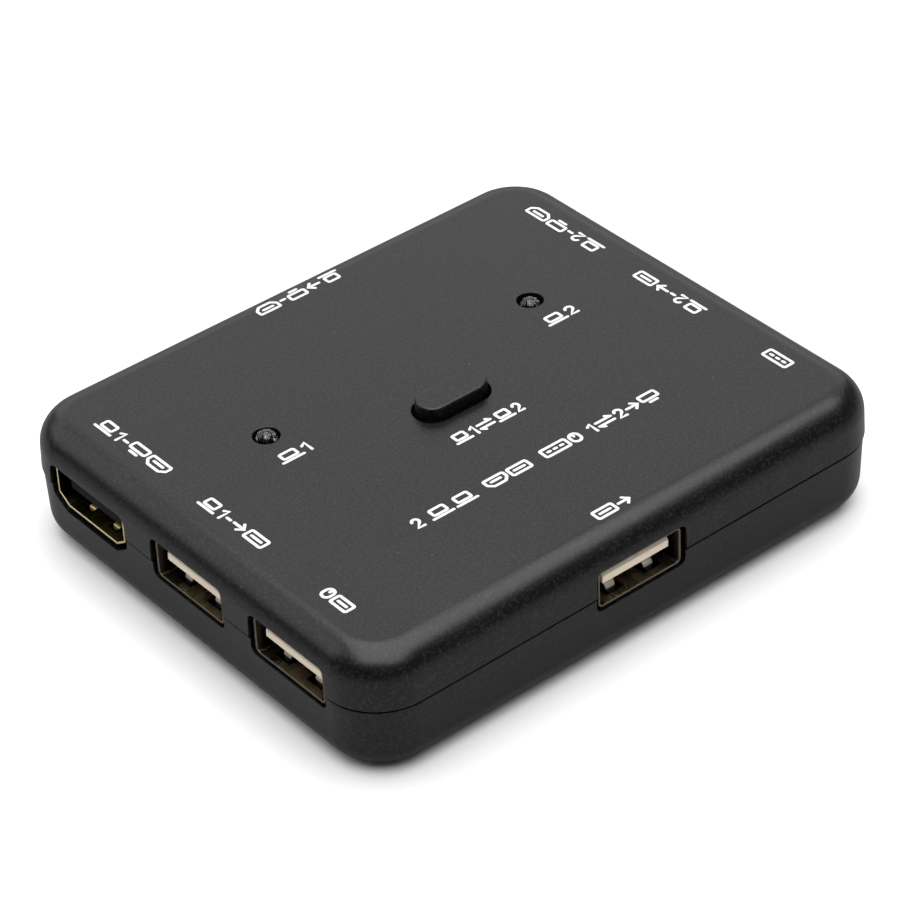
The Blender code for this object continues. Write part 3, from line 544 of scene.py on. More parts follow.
def turned(name, profile, steps=48):
    """A profile of (radius, height) points turned about Z; it starts and ends on the axis."""
    bm = bmesh.new()
    points = [bm.verts.new((radius, 0.0, height)) for radius, height in profile]
    edges = [bm.edges.new(pair) for pair in zip(points, points[1:])]
    bmesh.ops.spin(bm, geom=[*points, *edges], axis=(0, 0, 1), cent=(0, 0, 0),
                   steps=steps, angle=tau, use_merge=True)
    bmesh.ops.remove_doubles(bm, verts=bm.verts, dist=0.001 * MM)
    return to_mesh(name, bm)


def rounded_edge(radius, height, corner, steps=5, upper=True):
    """Profile points round the outer corner of a disc, from the flat face to the side."""
    points = []
    for step in range(steps + 1):
        turn = pi / 2 * step / steps
        rise = corner * cos(turn)
        points.append((radius - corner + corner * sin(turn),
                       height - corner + rise if upper else height + corner - rise))
    return points


foot_rubber = make_rubber()
foot_low, foot_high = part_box("rubber_foot_1")
foot_radius = (foot_high.x - foot_low.x) / 2
foot_profile = [(0.0, foot_high.z), *rounded_edge(foot_radius, foot_high.z, 0.1 * MM),
                *reversed(rounded_edge(foot_radius, foot_low.z, 0.3 * MM, upper=False)), (0.0, foot_low.z)]
foot_mesh = turned("rubber_foot", foot_profile)
for number, (x, y) in enumerate(foot_spots, 1):
    add_piece(f"foot_pad_{number}", foot_mesh, foot_rubber, "rubber", [f"rubber_foot_{number}"],
              place=at(x, y))


# ---- cover screws ----
# Four zinc-plated pan-head screws go up through the floor and the board, and cut their own
# thread in the posts of the upper cover. Each head has a cross recess with sloping sides.

def make_metal_grain():
    """Rolling or polishing lines along one axis, with fine scratches and dulled patches."""
    tree, given, result = new_group("metal_grain", {"Scale": 3000.0, "Along": 0.06}, ["Lines", "Haze"])
    place = local_place(tree)
    stretch = add_node(tree, "CombineXYZ", {"X": 1.0, "Y": given["Along"], "Z": 1.0})
    pulled = add_node(tree, "VectorMath", {0: place, 1: stretch.outputs[0]}, operation="MULTIPLY")
    haze = noise(tree, place, 320.0, 5.0, 0.65)
    wire(tree, result, Lines=noise(tree, pulled.outputs[0], given["Scale"], 4.0),
         Haze=ranged(tree, haze, 0.35, 0.7))
    return tree


metal_grain = make_metal_grain()


def make_metal(name, bright, dull, roughness):
    """Plated sheet or wire: rolling lines, and patches where the plating has gone dull."""
    made, tree, shader = new_material(name, Metallic=1.0)
    grain = place_group(tree, metal_grain)
    lines = ranged(tree, grain["Lines"], 0.3, 0.7, roughness - 0.05, roughness + 0.06)
    rough = maths(tree, "ADD", lines, maths(tree, "MULTIPLY", grain["Haze"], 0.12))
    patchy = blended(tree, grain["Haze"], bright, dull)
    finish(tree, shader, patchy, rough, grain["Lines"], 0.12, 0.008 * MM)
    return made


zinc_steel = make_metal("zinc_steel", (0.58, 0.59, 0.61), (0.40, 0.40, 0.41), 0.26)
screw_low, screw_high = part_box("cover_screw_1")
HEAD_RADIUS = 2.5 * MM
HEAD_HEIGHT = 1.7 * MM
SHANK_RADIUS = 1.3 * MM


def screw():
    """Point, shank and head, the head lowest, with four sloping arms cut into the crown."""
    seat_height = screw_low.z + HEAD_HEIGHT
    profile = [(0.0, screw_high.z), (0.5 * SHANK_RADIUS, screw_high.z - 0.5 * MM)]
    pitch = 0.9 * MM
    height = screw_high.z - 1.4 * MM
    root = 0.82 * SHANK_RADIUS
    while height > seat_height + 2 * pitch:
        profile += [(root, height), (SHANK_RADIUS, height - 0.4 * pitch), (root, height - 0.8 * pitch)]
        height -= pitch
    profile += [(root, seat_height + 0.3 * MM), (root, seat_height), (HEAD_RADIUS, seat_height)]
    for step in range(7):
        turn = radians(15 * step)
        profile.append((HEAD_RADIUS * cos(turn) if step < 6 else 0.0,
                        screw_low.z + 0.75 * MM * (1 - sin(turn))))
    cuts = []
    for turn in (0, 90):
        ends = ((1.5 * MM, 0.30 * MM, -0.5 * MM), (0.55 * MM, 0.2 * MM, 1.25 * MM))
        arm = skin("arm", [ring(oblong((-u, -v), (u, v)), screw_low.z + rise, "Z") for u, v, rise in ends])
        arm.transform(Matrix.Rotation(radians(turn), 4, "Z"))
        cuts.append(cut(arm))
    return shaped("screw", turned("screw_body", profile, 32), *cuts)


screw_mesh = screw()
for number, (x, y) in enumerate(screw_spots, 1):
    add_piece(f"case_screw_{number}", screw_mesh, zinc_steel, "steel", [f"cover_screw_{number}"],
              place=at(x, y) @ Matrix.Rotation(0.4 * number, 4, "Z"))


# ---- circuit board ----
# A glass-fibre board with green solder resist over copper tracks. It lies on the lower
# posts and carries every socket, the lamps and the switch.

def make_board_finish():
    """Resist that is paler and raised where a track runs under it."""
    made, tree, shader = new_material("board_resist", IOR=1.5, Coat_Weight=0.4, Coat_Roughness=0.1)
    place = local_place(tree)
    shades = {"Color1": (0, 0, 0, 1), "Color2": (0, 0, 0, 1), "Mortar": (1, 1, 1, 1)}
    tracks = add_node(tree, "TexBrick", {"Vector": place, "Scale": 240.0, "Mortar Size": 0.05, **shades})
    weave = noise(tree, place, 2500.0, 2.0)
    raised = tracks.outputs["Color"]
    green = blended(tree, raised, (0.0015, 0.012, 0.006), (0.003, 0.028, 0.013))
    rough = ranged(tree, weave, 0.3, 0.7, 0.28, 0.42)
    finish(tree, shader, green, rough, maths(tree, "ADD", raised, weave), 0.3, 0.03 * MM)
    return made


def refinish(material, *nodes):
    """CAD nodes whose shape is final get a new finish."""
    for name in nodes:
        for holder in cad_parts[name].material_slots:
            holder.material = material


refinish(make_board_finish(), "circuit_board")


# ---- chips, crystal, regulator and capacitors ----
# Packages in black epoxy with a fine moulded texture, a crystal in a drawn steel can, and
# two supply capacitors in aluminium cans. All are soldered to the top of the board.

chip_black = make_moulded_plastic(
    "chip_black", (0.011, 0.011, 0.012), (0.018, 0.018, 0.019), (0.03, 0.03, 0.03),
    0.55, 9000.0, 0.02 * MM, 0.0)
can_metal = make_metal("can_metal", (0.66, 0.66, 0.67), (0.52, 0.52, 0.53), 0.22)
refinish(chip_black, "video_switch_chip", "hub_chip", "voltage_regulator")
refinish(can_metal, "clock_crystal", "supply_capacitor_1", "supply_capacitor_2")


# ---- momentary switch ----
# A tactile switch under the button: a moulded base with a plunger, a stamped plate that
# holds the plunger in, and a snap dome of spring steel that gives the click and flattens.

spring_steel = make_metal("spring_steel", (0.62, 0.61, 0.58), (0.45, 0.44, 0.42), 0.3)
refinish(chip_black, "switch_base", "switch_plunger")
refinish(spring_steel, "switch_plate", *(f"switch_lead_{n}" for n in (1, 2, 3, 4)))


def snap_dome():
    low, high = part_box("switch_dome")
    radius = (high.x - low.x) / 2
    sheet = 0.12 * MM
    rise = high.z - low.z - sheet
    upper = []
    lower = []
    for step in range(13):
        share = step / 12
        height = low.z + rise * (1 - share ** 2)
        upper.append((radius * share, height + sheet))
        lower.append((radius * share, height))
    return turned("snap_dome", [*upper, *reversed(lower)])


dome_centre = centre_of("switch_dome")
dome = add_piece("snap_dome", snap_dome(), spring_steel, "steel", ["switch_dome"],
                 place=at(dome_centre.x, dome_centre.y))
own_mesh(dome)


# ---- indicator lamps ----
# Two 3 mm light-emitting diodes in clear epoxy. Each stands on a black spacer, and its dome
# comes up through a round hole. Inside are two stamped leads, one with a tiny bright cup.

def make_clear_epoxy():
    made, tree, shader = new_material(
        "clear_epoxy", Base_Color=(0.93, 0.93, 0.90, 1), IOR=1.53, Transmission_Weight=1.0)
    place = local_place(tree)
    haze = noise(tree, place, 900.0, 3.0)
    wire(tree, shader.inputs, Roughness=ranged(tree, haze, 0.3, 0.7, 0.10, 0.18))
    return made


LAMP_RADIUS = 1.5 * MM
clear_epoxy = make_clear_epoxy()
silver_plate = make_metal("silver_plate", (0.86, 0.85, 0.82), (0.70, 0.69, 0.66), 0.16)


def lamp_lens(low, high):
    shoulder = low + 1.0 * MM
    flange = 1.9 * MM
    dome = rounded_edge(LAMP_RADIUS, high, LAMP_RADIUS, 15)
    edge = rounded_edge(flange, shoulder, 0.12 * MM, 3)
    return turned("lamp_lens", [*dome, (LAMP_RADIUS, shoulder), *edge, (flange, low), (0.0, low)])


def reflector_cup(top, foot):
    """The cup inside the lens, with the chip on its floor and a stem down to the lead."""
    profile = [(0.0, top - 0.12 * MM), (0.18 * MM, top - 0.12 * MM), (0.18 * MM, top - 0.28 * MM),
               (0.24 * MM, top - 0.28 * MM), (0.44 * MM, top), (0.52 * MM, top), (0.38 * MM, top - 0.4 * MM),
               (0.22 * MM, top - 0.6 * MM), (0.22 * MM, foot), (0.0, foot)]
    return turned("reflector_cup", profile)


for number in (1, 2):
    low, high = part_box(f"lamp_{number}_lens")
    spot = at(*centre_of(f"lamp_{number}_lens").to_2d())
    add_piece(f"lamp_{number}_dome", lamp_lens(low.z, high.z), clear_epoxy, "clear_lens",
              [f"lamp_{number}_lens"], place=spot)
    cup_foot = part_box(f"lamp_{number}_lead_b")[1].z + 0.05 * MM
    add_piece(f"lamp_{number}_cup", reflector_cup(high.z - 2.5 * MM, cup_foot), silver_plate, "steel", [],
              place=spot @ at(0.2 * MM, 0))
    refinish(silver_plate, f"lamp_{number}_lead_a", f"lamp_{number}_lead_b")
    refinish(chip_black, f"lamp_{number}_spacer")


# ---- socket shells ----
# Each shell is a tube folded from thin sheet, nickel plated on the flat data sockets and
# gold plated on the D-shaped video ones. Windows pierced in the floor and the roof leave
# spring fingers that press on the plug, and two legs go down through the board.

SHEET = 0.3 * MM
EDGE_ROLL = 0.06 * MM
LIP_REACH = 1.0 * MM
FINGER_SPREAD = {"data": 3.2 * MM, "video": 2.7 * MM}


def make_shell_metal(name, bright, dull, rim, kind):
    """Plated shell: dull walls with painted shade towards the sides, a bare sheared rim on nickel but a
    painted highlight of bright gold at the rim on gold, and fingers painted bright, partly where plugs have
    rubbed them and partly as a painted highlight.
    """
    made, tree, shader = new_material(name, Metallic=1.0)
    grain = place_group(tree, metal_grain)
    place = add_node(tree, "SeparateXYZ", {0: local_place(tree)}).outputs
    corners = SHELL_CORNERS[kind]
    low, high = corners[0][1], corners[3][1]
    side = maths(tree, "ABSOLUTE", place["X"])
    off_finger = maths(tree, "ABSOLUTE", maths(tree, "SUBTRACT", side, FINGER_SPREAD[kind]))
    beside = ranged(tree, off_finger, 0.8 * MM, 0.7 * MM)
    off_middle = maths(tree, "ABSOLUTE", maths(tree, "SUBTRACT", place["Z"], (low + high) / 2))
    room = (high - low) / 2 - SHEET
    # The fingers take the bright colour: partly polish left by plugs, partly a painted highlight on their
    # tips.
    finger_polish_and_highlight = maths(tree, "MULTIPLY", beside, ranged(tree, off_middle, room, room - 0.05 * MM))
    wall = blended(tree, grain["Haze"], [0.8 * part for part in dull], dull)
    # Painted shade: the walls darken to a tenth of their colour towards the sides of the tube.
    painted_side_shade = ranged(tree, side, DATA_WIDTH / 2 - 0.9 * MM, DATA_WIDTH / 2 - 0.3 * MM)
    with_side_shade = blended(tree, painted_side_shade, wall, [0.1 * part for part in dull])
    # The front rim band: a darker bare edge on nickel, and on the gold shells a painted highlight in bright
    # gold.
    rim_band_and_highlight = blended(tree, ranged(tree, place["Y"], 0.12 * MM, 0.06 * MM), with_side_shade, rim)
    plated = blended(tree, finger_polish_and_highlight, rim_band_and_highlight, bright)
    lines = ranged(tree, grain["Lines"], 0.3, 0.7, 0.20, 0.32)
    hazy = maths(tree, "ADD", lines, maths(tree, "MULTIPLY", grain["Haze"], 0.12))
    scuffed = maths(tree, "ADD", hazy, maths(tree, "MULTIPLY", finger_polish_and_highlight, 0.30))
    finish(tree, shader, plated, scuffed, grain["Lines"], 0.12, 0.008 * MM)
    return made


gold_plate = make_metal("gold_plate", (0.80, 0.62, 0.28), (0.50, 0.37, 0.15), 0.22)
# Colours: the fingers' polish and painted highlight, the dull walls, and the rim band, which is a painted
# highlight on the gold shells.
nickel_shell = make_shell_metal("nickel_shell", (0.98, 0.91, 0.83), (0.25, 0.215, 0.15),
                                (0.20, 0.17, 0.13), "data")
gilt_shell = make_shell_metal("gilt_shell", (0.98, 0.80, 0.40), (0.28, 0.225, 0.09),
                              (0.88, 0.76, 0.42), "video")


def folded_tube(name, corners, depth, lip):
    """A tube of sheet with a rolled front edge, and with lips that spread its sides at the front."""
    def section(growth, inward):
        spread = lip * max(1 - inward / LIP_REACH, 0) ** 1.5
        wide = [(u + copysign(spread, u), v, radius) for u, v, radius in corners]
        return ring(rounded_outline(grown(wide, growth)), inward)

    bends = [LIP_REACH * share for share in (0.25, 0.5, 0.75, 1.0)]
    rolls = [(sin(radians(turn)), cos(radians(turn))) for turn in (0, 30, 60, 90)]
    outer = [section(EDGE_ROLL * (rise - 1), EDGE_ROLL * (1 - run)) for rise, run in rolls]
    inner = [section(EDGE_ROLL * (1 - rise) - SHEET, EDGE_ROLL * (1 - run)) for rise, run in reversed(rolls)]
    outer += [section(0.0, at) for at in (*bends, depth)]
    inner = [section(-SHEET, at) for at in (depth, *reversed(bends))] + inner
    return skin(name, outer + inner, joined=True)


def spring_finger(middle, width, wall, rise, root, apex, tip, away):
    """A finger of the wall: flat at its root, bowed in to the apex, and curled back at its round tip."""
    bow = [(root + 1.2 * MM, 0.0), (root, 0.0)]
    for step in range(1, 8):
        share = step / 8
        bow.append((root + (apex - root) * share, rise * (3 * share ** 2 - 2 * share ** 3)))
    rings = []
    for side in range(-75, 76, 15):
        angle = radians(side)
        line = bow[:]
        for step in range(8):
            turn = radians(step * 12) * cos(angle) ** 0.6
            line.append((apex - (apex - tip) * sin(turn), rise - (rise + away) * (1 - cos(turn))))
        facing_in = []
        facing_wall = []
        pinch = 0.35 * (1 - cos(angle))
        for index, (depth, height) in enumerate(line):
            run = (Vector(line[min(index + 1, len(line) - 1)]) - Vector(line[max(index - 1, 0)])).normalized()
            upper = Vector((depth, wall[0] + wall[1] * height))
            across = Vector((-run.y, run.x * wall[1])) * SHEET
            facing_in.append(tuple(upper + across * pinch))
            facing_wall.append(tuple(upper + across * (1 - pinch)))
        rings.append(ring([*facing_in, *reversed(facing_wall)], middle + width / 2 * sin(angle), "X"))
    return skin("finger", rings)


# In millimetres: each kind of shell's length, where its legs start, and the shape of its fingers
SHELLS = {
    "data": {"depth": 14.0, "leg": 6.0, "lip": 0.45, "root": 9.3, "start": 1.15,
             "width": 1.75, "gap": 0.65, "rise": 0.85, "apex": 1.5, "tip": 0.7},
    "video": {"depth": 11.3, "leg": 5.0, "lip": 0.0, "root": 7.4, "start": 1.2,
              "width": 1.35, "gap": 0.30, "rise": 0.20, "apex": 0.95, "tip": 0.45},
}
ROOF_RISE = 0.35 * MM
VIDEO_CURL = 0.4 * MM


def shell_mesh(kind):
    corners = SHELL_CORNERS[kind]
    low, high = corners[0][1], corners[3][1]
    made = {part: size * MM for part, size in SHELLS[kind].items()}
    start, root, depth = made["start"], made["root"], made["depth"]
    reach = made["width"] / 2 + made["gap"]
    steps = []
    for middle in (-FINGER_SPREAD[kind], FINGER_SPREAD[kind]):
        for level in (low, high):
            steps.append(cut(block("window", (middle - reach, start, level - 1 * MM),
                                   (middle + reach, root, level + 1 * MM))))
        for wall, bow in (((low + SHEET, 1), made["rise"]), ((high - SHEET, -1), ROOF_RISE)):
            curl = bow if kind == "data" else VIDEO_CURL
            steps.append(join(spring_finger(middle, made["width"], wall, bow, root,
                                            start + made["apex"], start + made["tip"], curl)))
    half = max(u for u, v, radius in corners) - SHEET / 2
    leg_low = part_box(kind + "_1_socket_shell")[0].z
    for middle in (-half, half):
        steps.append(join(block("leg", (middle - 0.25 * MM, made["leg"], leg_low),
                                (middle + 0.25 * MM, made["leg"] + 2.0 * MM, split))))
    steps.append(cut(block("seam", (-0.04 * MM, -1 * MM, low - 1 * MM),
                           (0.04 * MM, depth * 0.35, low + 0.5 * MM))))
    return shaped(kind + "_shell", folded_tube(kind + "_tube", corners, depth, made["lip"]), *steps)


shell_meshes = {kind: shell_mesh(kind) for kind in ("data", "video")}
shell_finish = {"data": (nickel_shell, "nickel_plate"), "video": (gilt_shell, "gold_plate")}
for name in SOCKETS:
    kind = kind_of(name)
    add_piece(name + "_can", shell_meshes[kind], *shell_finish[kind], [name + "_shell"], place=seat(name))


# ---- socket inserts and contacts ----
# The data inserts are moulded in cream thermoplastic, with a thick tongue near the roof and
# four sprung contacts under it. The video inserts are black, with a thin tongue that has
# contacts on both faces. The stamped contacts are plated like the video shells.

def make_insert_plastic(name, colour, shade, roughness, gloss):
    """Glass-filled plastic: faintly mottled, a little translucent, with a fine grain."""
    depths = (0.6 * MM, 0.45 * MM, 0.3 * MM)
    made, tree, shader = new_material(name, IOR=1.55, Specular_IOR_Level=gloss, Subsurface_Weight=0.08,
                                      Subsurface_Radius=depths)
    surface = place_group(tree, mould_grain, Scale=3800.0)
    edges = place_group(tree, rubbed_edges, Radius=0.12 * MM)["Mask"]
    body = blended(tree, surface["Gloss"], colour, shade)
    pale = blended(tree, maths(tree, "MULTIPLY", edges, 0.35), body, (0.90, 0.86, 0.74))
    rough = ranged(tree, surface["Gloss"], 0.0, 1.0, roughness, roughness + 0.1)
    finish(tree, shader, pale if colour[0] > 0.1 else body, rough, surface["Height"], 0.15, 0.02 * MM)
    return made


cream_plastic = make_insert_plastic("cream_plastic", (0.80, 0.70, 0.56), (0.74, 0.63, 0.49), 0.40, 0.5)
insert_black = make_insert_plastic("insert_black", (0.003, 0.003, 0.003), (0.005, 0.004, 0.003), 0.55,
                                   0.12)


def eased_bar(name, low, high, edge, nose=0.0):
    """A bar with every edge rounded, and its front upper edge cut back in a slope that guides the plug."""
    bm = squared(low, high)
    if nose > 0:
        upper = [e for e in bm.edges if all(abs(v.co.z - high[2]) < TINY for v in e.verts)]
        bevel(bm, [e for e in upper if all(abs(v.co.y - low[1]) < TINY for v in e.verts)], nose, 1)
    bevel(bm, bm.edges[:], edge, 3)
    return to_mesh(name, bm)


# The body of each kind of insert runs from front to back, and its tongue starts nearer the mouth
INSERTS = {
    "data": {"front": 10.4 * MM, "back": 13.85 * MM, "tongue": 0.75 * MM, "half": 5.55 * MM,
             "high": DATA_HIGH - SHEET - 0.72 * MM, "thick": 1.84 * MM, "edge": 0.12 * MM, "nose": 0.75 * MM},
    "video": {"front": 8.2 * MM, "back": 11.15 * MM, "tongue": 0.9 * MM, "half": 5.7 * MM,
              "high": split + 1.5 * MM, "thick": 1.5 * MM, "edge": 0.16 * MM, "nose": 0.0},
}
CONTACT_SLOT = 0.62 * MM
DATA_CONTACTS = (-3.5 * MM, -1.0 * MM, 1.0 * MM, 3.5 * MM)


def insert_mesh(kind):
    made = INSERTS[kind]
    room = rounded_outline(grown(SHELL_CORNERS[kind], -SHEET - 0.1 * MM))
    front, half, high = made["front"], made["half"], made["high"]
    low = high - made["thick"]
    body = skin(kind + "_body", [ring(room, front), ring(room, made["back"])])
    tongue = eased_bar("tongue", (-half, made["tongue"], low), (half, front + 1 * MM, high),
                       made["edge"], made["nose"])
    if kind == "data":
        slots = [block("slot", (x - CONTACT_SLOT, 1.3 * MM, low - 0.5 * MM),
                       (x + CONTACT_SLOT, 16 * MM, low + 0.02 * MM)) for x in DATA_CONTACTS]
        slots.append(block("slot", (-4.2 * MM, front - 1 * MM, low - 0.5 * MM), (4.2 * MM, 16 * MM, low)))
    else:
        slots = [block("slot", (-5.0 * MM, front - 1 * MM, z), (5.0 * MM, 13 * MM, z + 0.5 * MM))
                 for z in (low - 0.5 * MM, high)]
    return shaped(kind + "_insert", body, join(tongue), *map(cut, slots))


insert_meshes = {kind: insert_mesh(kind) for kind in ("data", "video")}
insert_finish = {"data": (cream_plastic, "cream_plastic"), "video": (insert_black, "dark_plastic")}
for name in SOCKETS:
    kind = kind_of(name)
    add_piece(name + "_tongue", insert_meshes[kind], *insert_finish[kind], [name + "_insert"],
              place=seat(name))
    refinish(gold_plate, name + "_contacts")


# ---- upper cover ----
# The upper half is moulded in the same black ABS, with a wide rounded edge all round the
# top. It drops over the lip of the lower half, and its posts take the screws.

TOP_FILLET = 4.2 * MM
LAMP_HOLE = 1.85 * MM
BUTTON_SLACK = 0.5 * MM
button_low, button_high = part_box("select_button")
button_x = (button_low.x + button_high.x) / 2
button_y = (button_low.y + button_high.y) / 2
BUTTON_HALF = (5.45 * MM, 2.35 * MM)


def stadium(extra, steps=14):
    """The button's outline, or one that stands off it by the same distance all round."""
    half_x, half_y = (half + extra for half in BUTTON_HALF)
    return [(button_x + u, button_y + v)
            for u, v in rounded_outline(rectangle(half_x, -half_y, half_y, half_y - TINY), steps)]


def hole_tool(outline_at, low, face, edge):
    """A cutter for a hole in the top face, flared at the face so that the hole's edge comes out round."""
    rings = [ring(outline_at(0.0), low, "Z")]
    for spread, depth in reversed(list(flare(edge))):
        rings.append(ring(outline_at(spread), face - depth, "Z"))
    rings.append(ring(outline_at(edge), face + 1 * MM, "Z"))
    return skin("hole", rings)


def upper_cover():
    ceiling = top_high.z - WALL
    outer = soft_block("upper", case_size, split + PARTING_GAP / 2, top_high.z, CASE_CORNER, TOP_FILLET,
                       "top", COVER_DRAFT, PARTING_EDGE)
    room = [side - 2 * WALL for side in case_size]
    steps = [cut(soft_block("room", room, split - 5 * MM, ceiling, CASE_CORNER - WALL,
                            TOP_FILLET - WALL, "top", COVER_DRAFT))]
    bore_end = screw_high.z + CLEARANCE
    for x, y in screw_spots:
        steps += [join(rod("post", POST_RADIUS, board_high.z + CLEARANCE, ceiling + 1 * MM, x, y)),
                  cut(rod("bore", SCREW_BORE, board_high.z - 1 * MM, bore_end, x, y))]
    steps += mouth_cuts()
    for number in (1, 2):
        spot = centre_of(f"lamp_{number}_lens")
        steps.append(cut(hole_tool(lambda extra: circle(LAMP_HOLE + extra, spot.x, spot.y),
                                   ceiling - 1 * MM, top_high.z, 0.12 * MM)))
    steps.append(cut(hole_tool(lambda extra: stadium(BUTTON_SLACK + extra),
                               ceiling - 1 * MM, top_high.z, 0.15 * MM)))
    return shaped("upper_cover", outer, *steps)


add_piece("upper_cover", upper_cover(), case_black, "case_plastic", ["top_cover"])


# ---- select button ----
# A loose cap in the same black plastic, held in by a flange under the upper cover. Its
# stem rests on the plunger of the switch. Fingers have polished the top edge a little.

def button_cap():
    flange_high = top_high.z - WALL - CLEARANCE
    flange_low = flange_high - 1.2 * MM
    edge = 0.40 * MM
    rim = 1.3 * MM
    rings = [ring(stadium(rim), flange_low, "Z"), ring(stadium(rim), flange_high, "Z"),
             ring(stadium(0.0), flange_high, "Z")]
    for turn in range(0, 91, 15):
        angle = radians(turn)
        rings.append(ring(stadium(-edge * (1 - cos(angle))),
                          button_high.z - edge * (1 - sin(angle)), "Z"))
    stem = rod("stem", 2.0 * MM, button_low.z, flange_low + 1 * MM, button_x, button_y)
    return shaped("button_cap", skin("cap", rings), join(stem))


add_piece("button_cap", button_cap(), case_black, "case_plastic", ["select_button"], body="button")


# ---- printing ----
# White pad-printed marks on the top face: small pictures of a computer, a screen, a
# keyboard, a mouse and the sockets, with the numbers 1 and 2. The ink stands just proud.

CAP_HEIGHT = 2.15 * MM
INK_HALF = 0.22 * MM
INK_PROUD = 0.018 * MM
MARK_SPACE = 0.28 * MM
MOST_STRETCH = 1.35


def make_ink():
    made, tree, shader = new_material("white_ink", IOR=1.5)
    place = local_place(tree)
    film = noise(tree, place, 3200.0, 4.0)
    white = blended(tree, ranged(tree, film, 0.30, 0.42), (0.42, 0.42, 0.42), (0.74, 0.74, 0.73))
    finish(tree, shader, white, ranged(tree, film, 0.3, 0.7, 0.42, 0.58), film, 0.1, 0.01 * MM)
    return made


def loop(*corners):
    return (True, corners)


def line(*corners):
    return (False, corners)


def bowl():
    """The curved top of a 2."""
    turns = [radians(t) for t in range(165, -46, -30)]
    return [(0.32 + 0.23 * cos(t), 0.67 + 0.24 * sin(t)) for t in turns]


# Each mark: its width and its strokes, with a cap height of 1
MARKS = {
    "one": (0.42, [line((0.06, 0.72), (0.31, 0.91), (0.31, 0.09))]),
    "two": (0.64, [line(*bowl(), (0.09, 0.09), (0.56, 0.09))]),
    "laptop": (1.42, [loop((0.28, 0.34), (1.14, 0.34), (1.14, 0.91), (0.28, 0.91)),
                      line((0.09, 0.09), (1.33, 0.09))]),
    "screen": (1.36, [loop((0.09, 0.37), (1.27, 0.37), (1.27, 0.91), (0.09, 0.91)),
                      line((0.42, 0.09), (0.94, 0.09))]),
    "keyboard": (2.05, [loop((0.09, 0.12), (1.96, 0.12), (1.96, 0.88), (0.09, 0.88)),
                        *(line((x, 0.5), (x + 0.18, 0.5)) for x in (0.44, 0.935, 1.43))]),
    "mouse": (0.82, [loop((0.09, 0.09), (0.73, 0.09), (0.73, 0.91), (0.09, 0.91)),
                     line((0.41, 0.64), (0.41, 0.76))]),
    "arrow": (1.02, [line((0.09, 0.5), (0.91, 0.5)), line((0.60, 0.82), (0.92, 0.5), (0.60, 0.18))]),
    "swap": (1.30, [line((0.10, 0.70), (1.20, 0.70)), line((0.94, 0.91), (1.20, 0.70)),
                    line((1.20, 0.30), (0.10, 0.30)), line((0.36, 0.09), (0.10, 0.30))]),
    "dash": (0.46, [line((0.09, 0.46), (0.37, 0.46))]),
    "flat_socket": (1.62, [loop((0.09, 0.14), (1.53, 0.14), (1.53, 0.86), (0.09, 0.86)),
                           line((0.42, 0.50), (1.20, 0.50))]),
    "d_socket": (1.66, [loop((0.40, 0.12), (1.26, 0.12), (1.57, 0.42), (1.57, 0.88), (0.09, 0.88),
                             (0.09, 0.42)), line((0.48, 0.55), (1.18, 0.55))]),
}
ROUND_CORNER = {"mouse": 0.31}


def stroke_points(corners, closed, radius):
    """The stroke's line with short arcs at its corners, and its ends drawn out for round tips."""
    if closed:
        return [(Vector(p), 1.0) for p in rounded_outline([(*c, radius) for c in corners], 6)]
    points = [(Vector(c), 1.0) for c in corners]
    half = INK_HALF / CAP_HEIGHT
    for end, inner in ((0, 1), (-1, -2)):
        tip = points[end][0]
        out = (tip - points[inner][0]).normalized()
        cap = [(tip + out * half * sin(radians(turn)), max(cos(radians(turn)), 0.02))
               for turn in (30, 55, 75, 90)]
        points = [*reversed(cap), *points] if end == 0 else [*points, *cap]
    return points


def print_row(name, marks, start, along, up, length):
    """A row of marks from a start point on the top face, spread out to fill the length."""
    curve = bpy.data.curves.new(name, "CURVE")
    curve.dimensions = "3D"
    curve.bevel_depth = INK_HALF / MM
    curve.bevel_resolution = 3
    curve.use_fill_caps = True
    natural = sum(MARKS[mark][0] for mark in marks) * CAP_HEIGHT
    breaks = len(marks) - 1
    stretch = min((length - breaks * MARK_SPACE) / natural, MOST_STRETCH)
    widths = [MARKS[mark][0] * CAP_HEIGHT * stretch for mark in marks]
    space = (length - sum(widths)) / breaks if breaks else 0.0
    travel = 0.0
    for mark, width in zip(marks, widths):
        for closed, corners in MARKS[mark][1]:
            points = stroke_points(corners, closed, ROUND_CORNER.get(mark, 0.10))
            spline = curve.splines.new("POLY")
            spline.points.add(len(points) - 1)
            spline.use_cyclic_u = closed
            for point, (where, thickness) in zip(spline.points, points):
                across = travel + where.x * CAP_HEIGHT * stretch
                spot = Vector(start) + Vector(along) * across + Vector(up) * where.y * CAP_HEIGHT
                point.co = (spot.x / MM, spot.y / MM, 0.0, 1.0)
                point.radius = thickness
        travel += width + space
    holder = link(name + "_line", curve)
    mesh = bpy.data.meshes.new_from_object(holder.evaluated_get(bpy.context.evaluated_depsgraph_get()))
    bpy.data.objects.remove(holder, do_unlink=True)
    flatten = INK_PROUD / INK_HALF
    mesh.transform(Matrix.Translation((0, 0, top_high.z)) @ Matrix.Diagonal((MM, MM, MM * flatten, 1)))
    return mesh


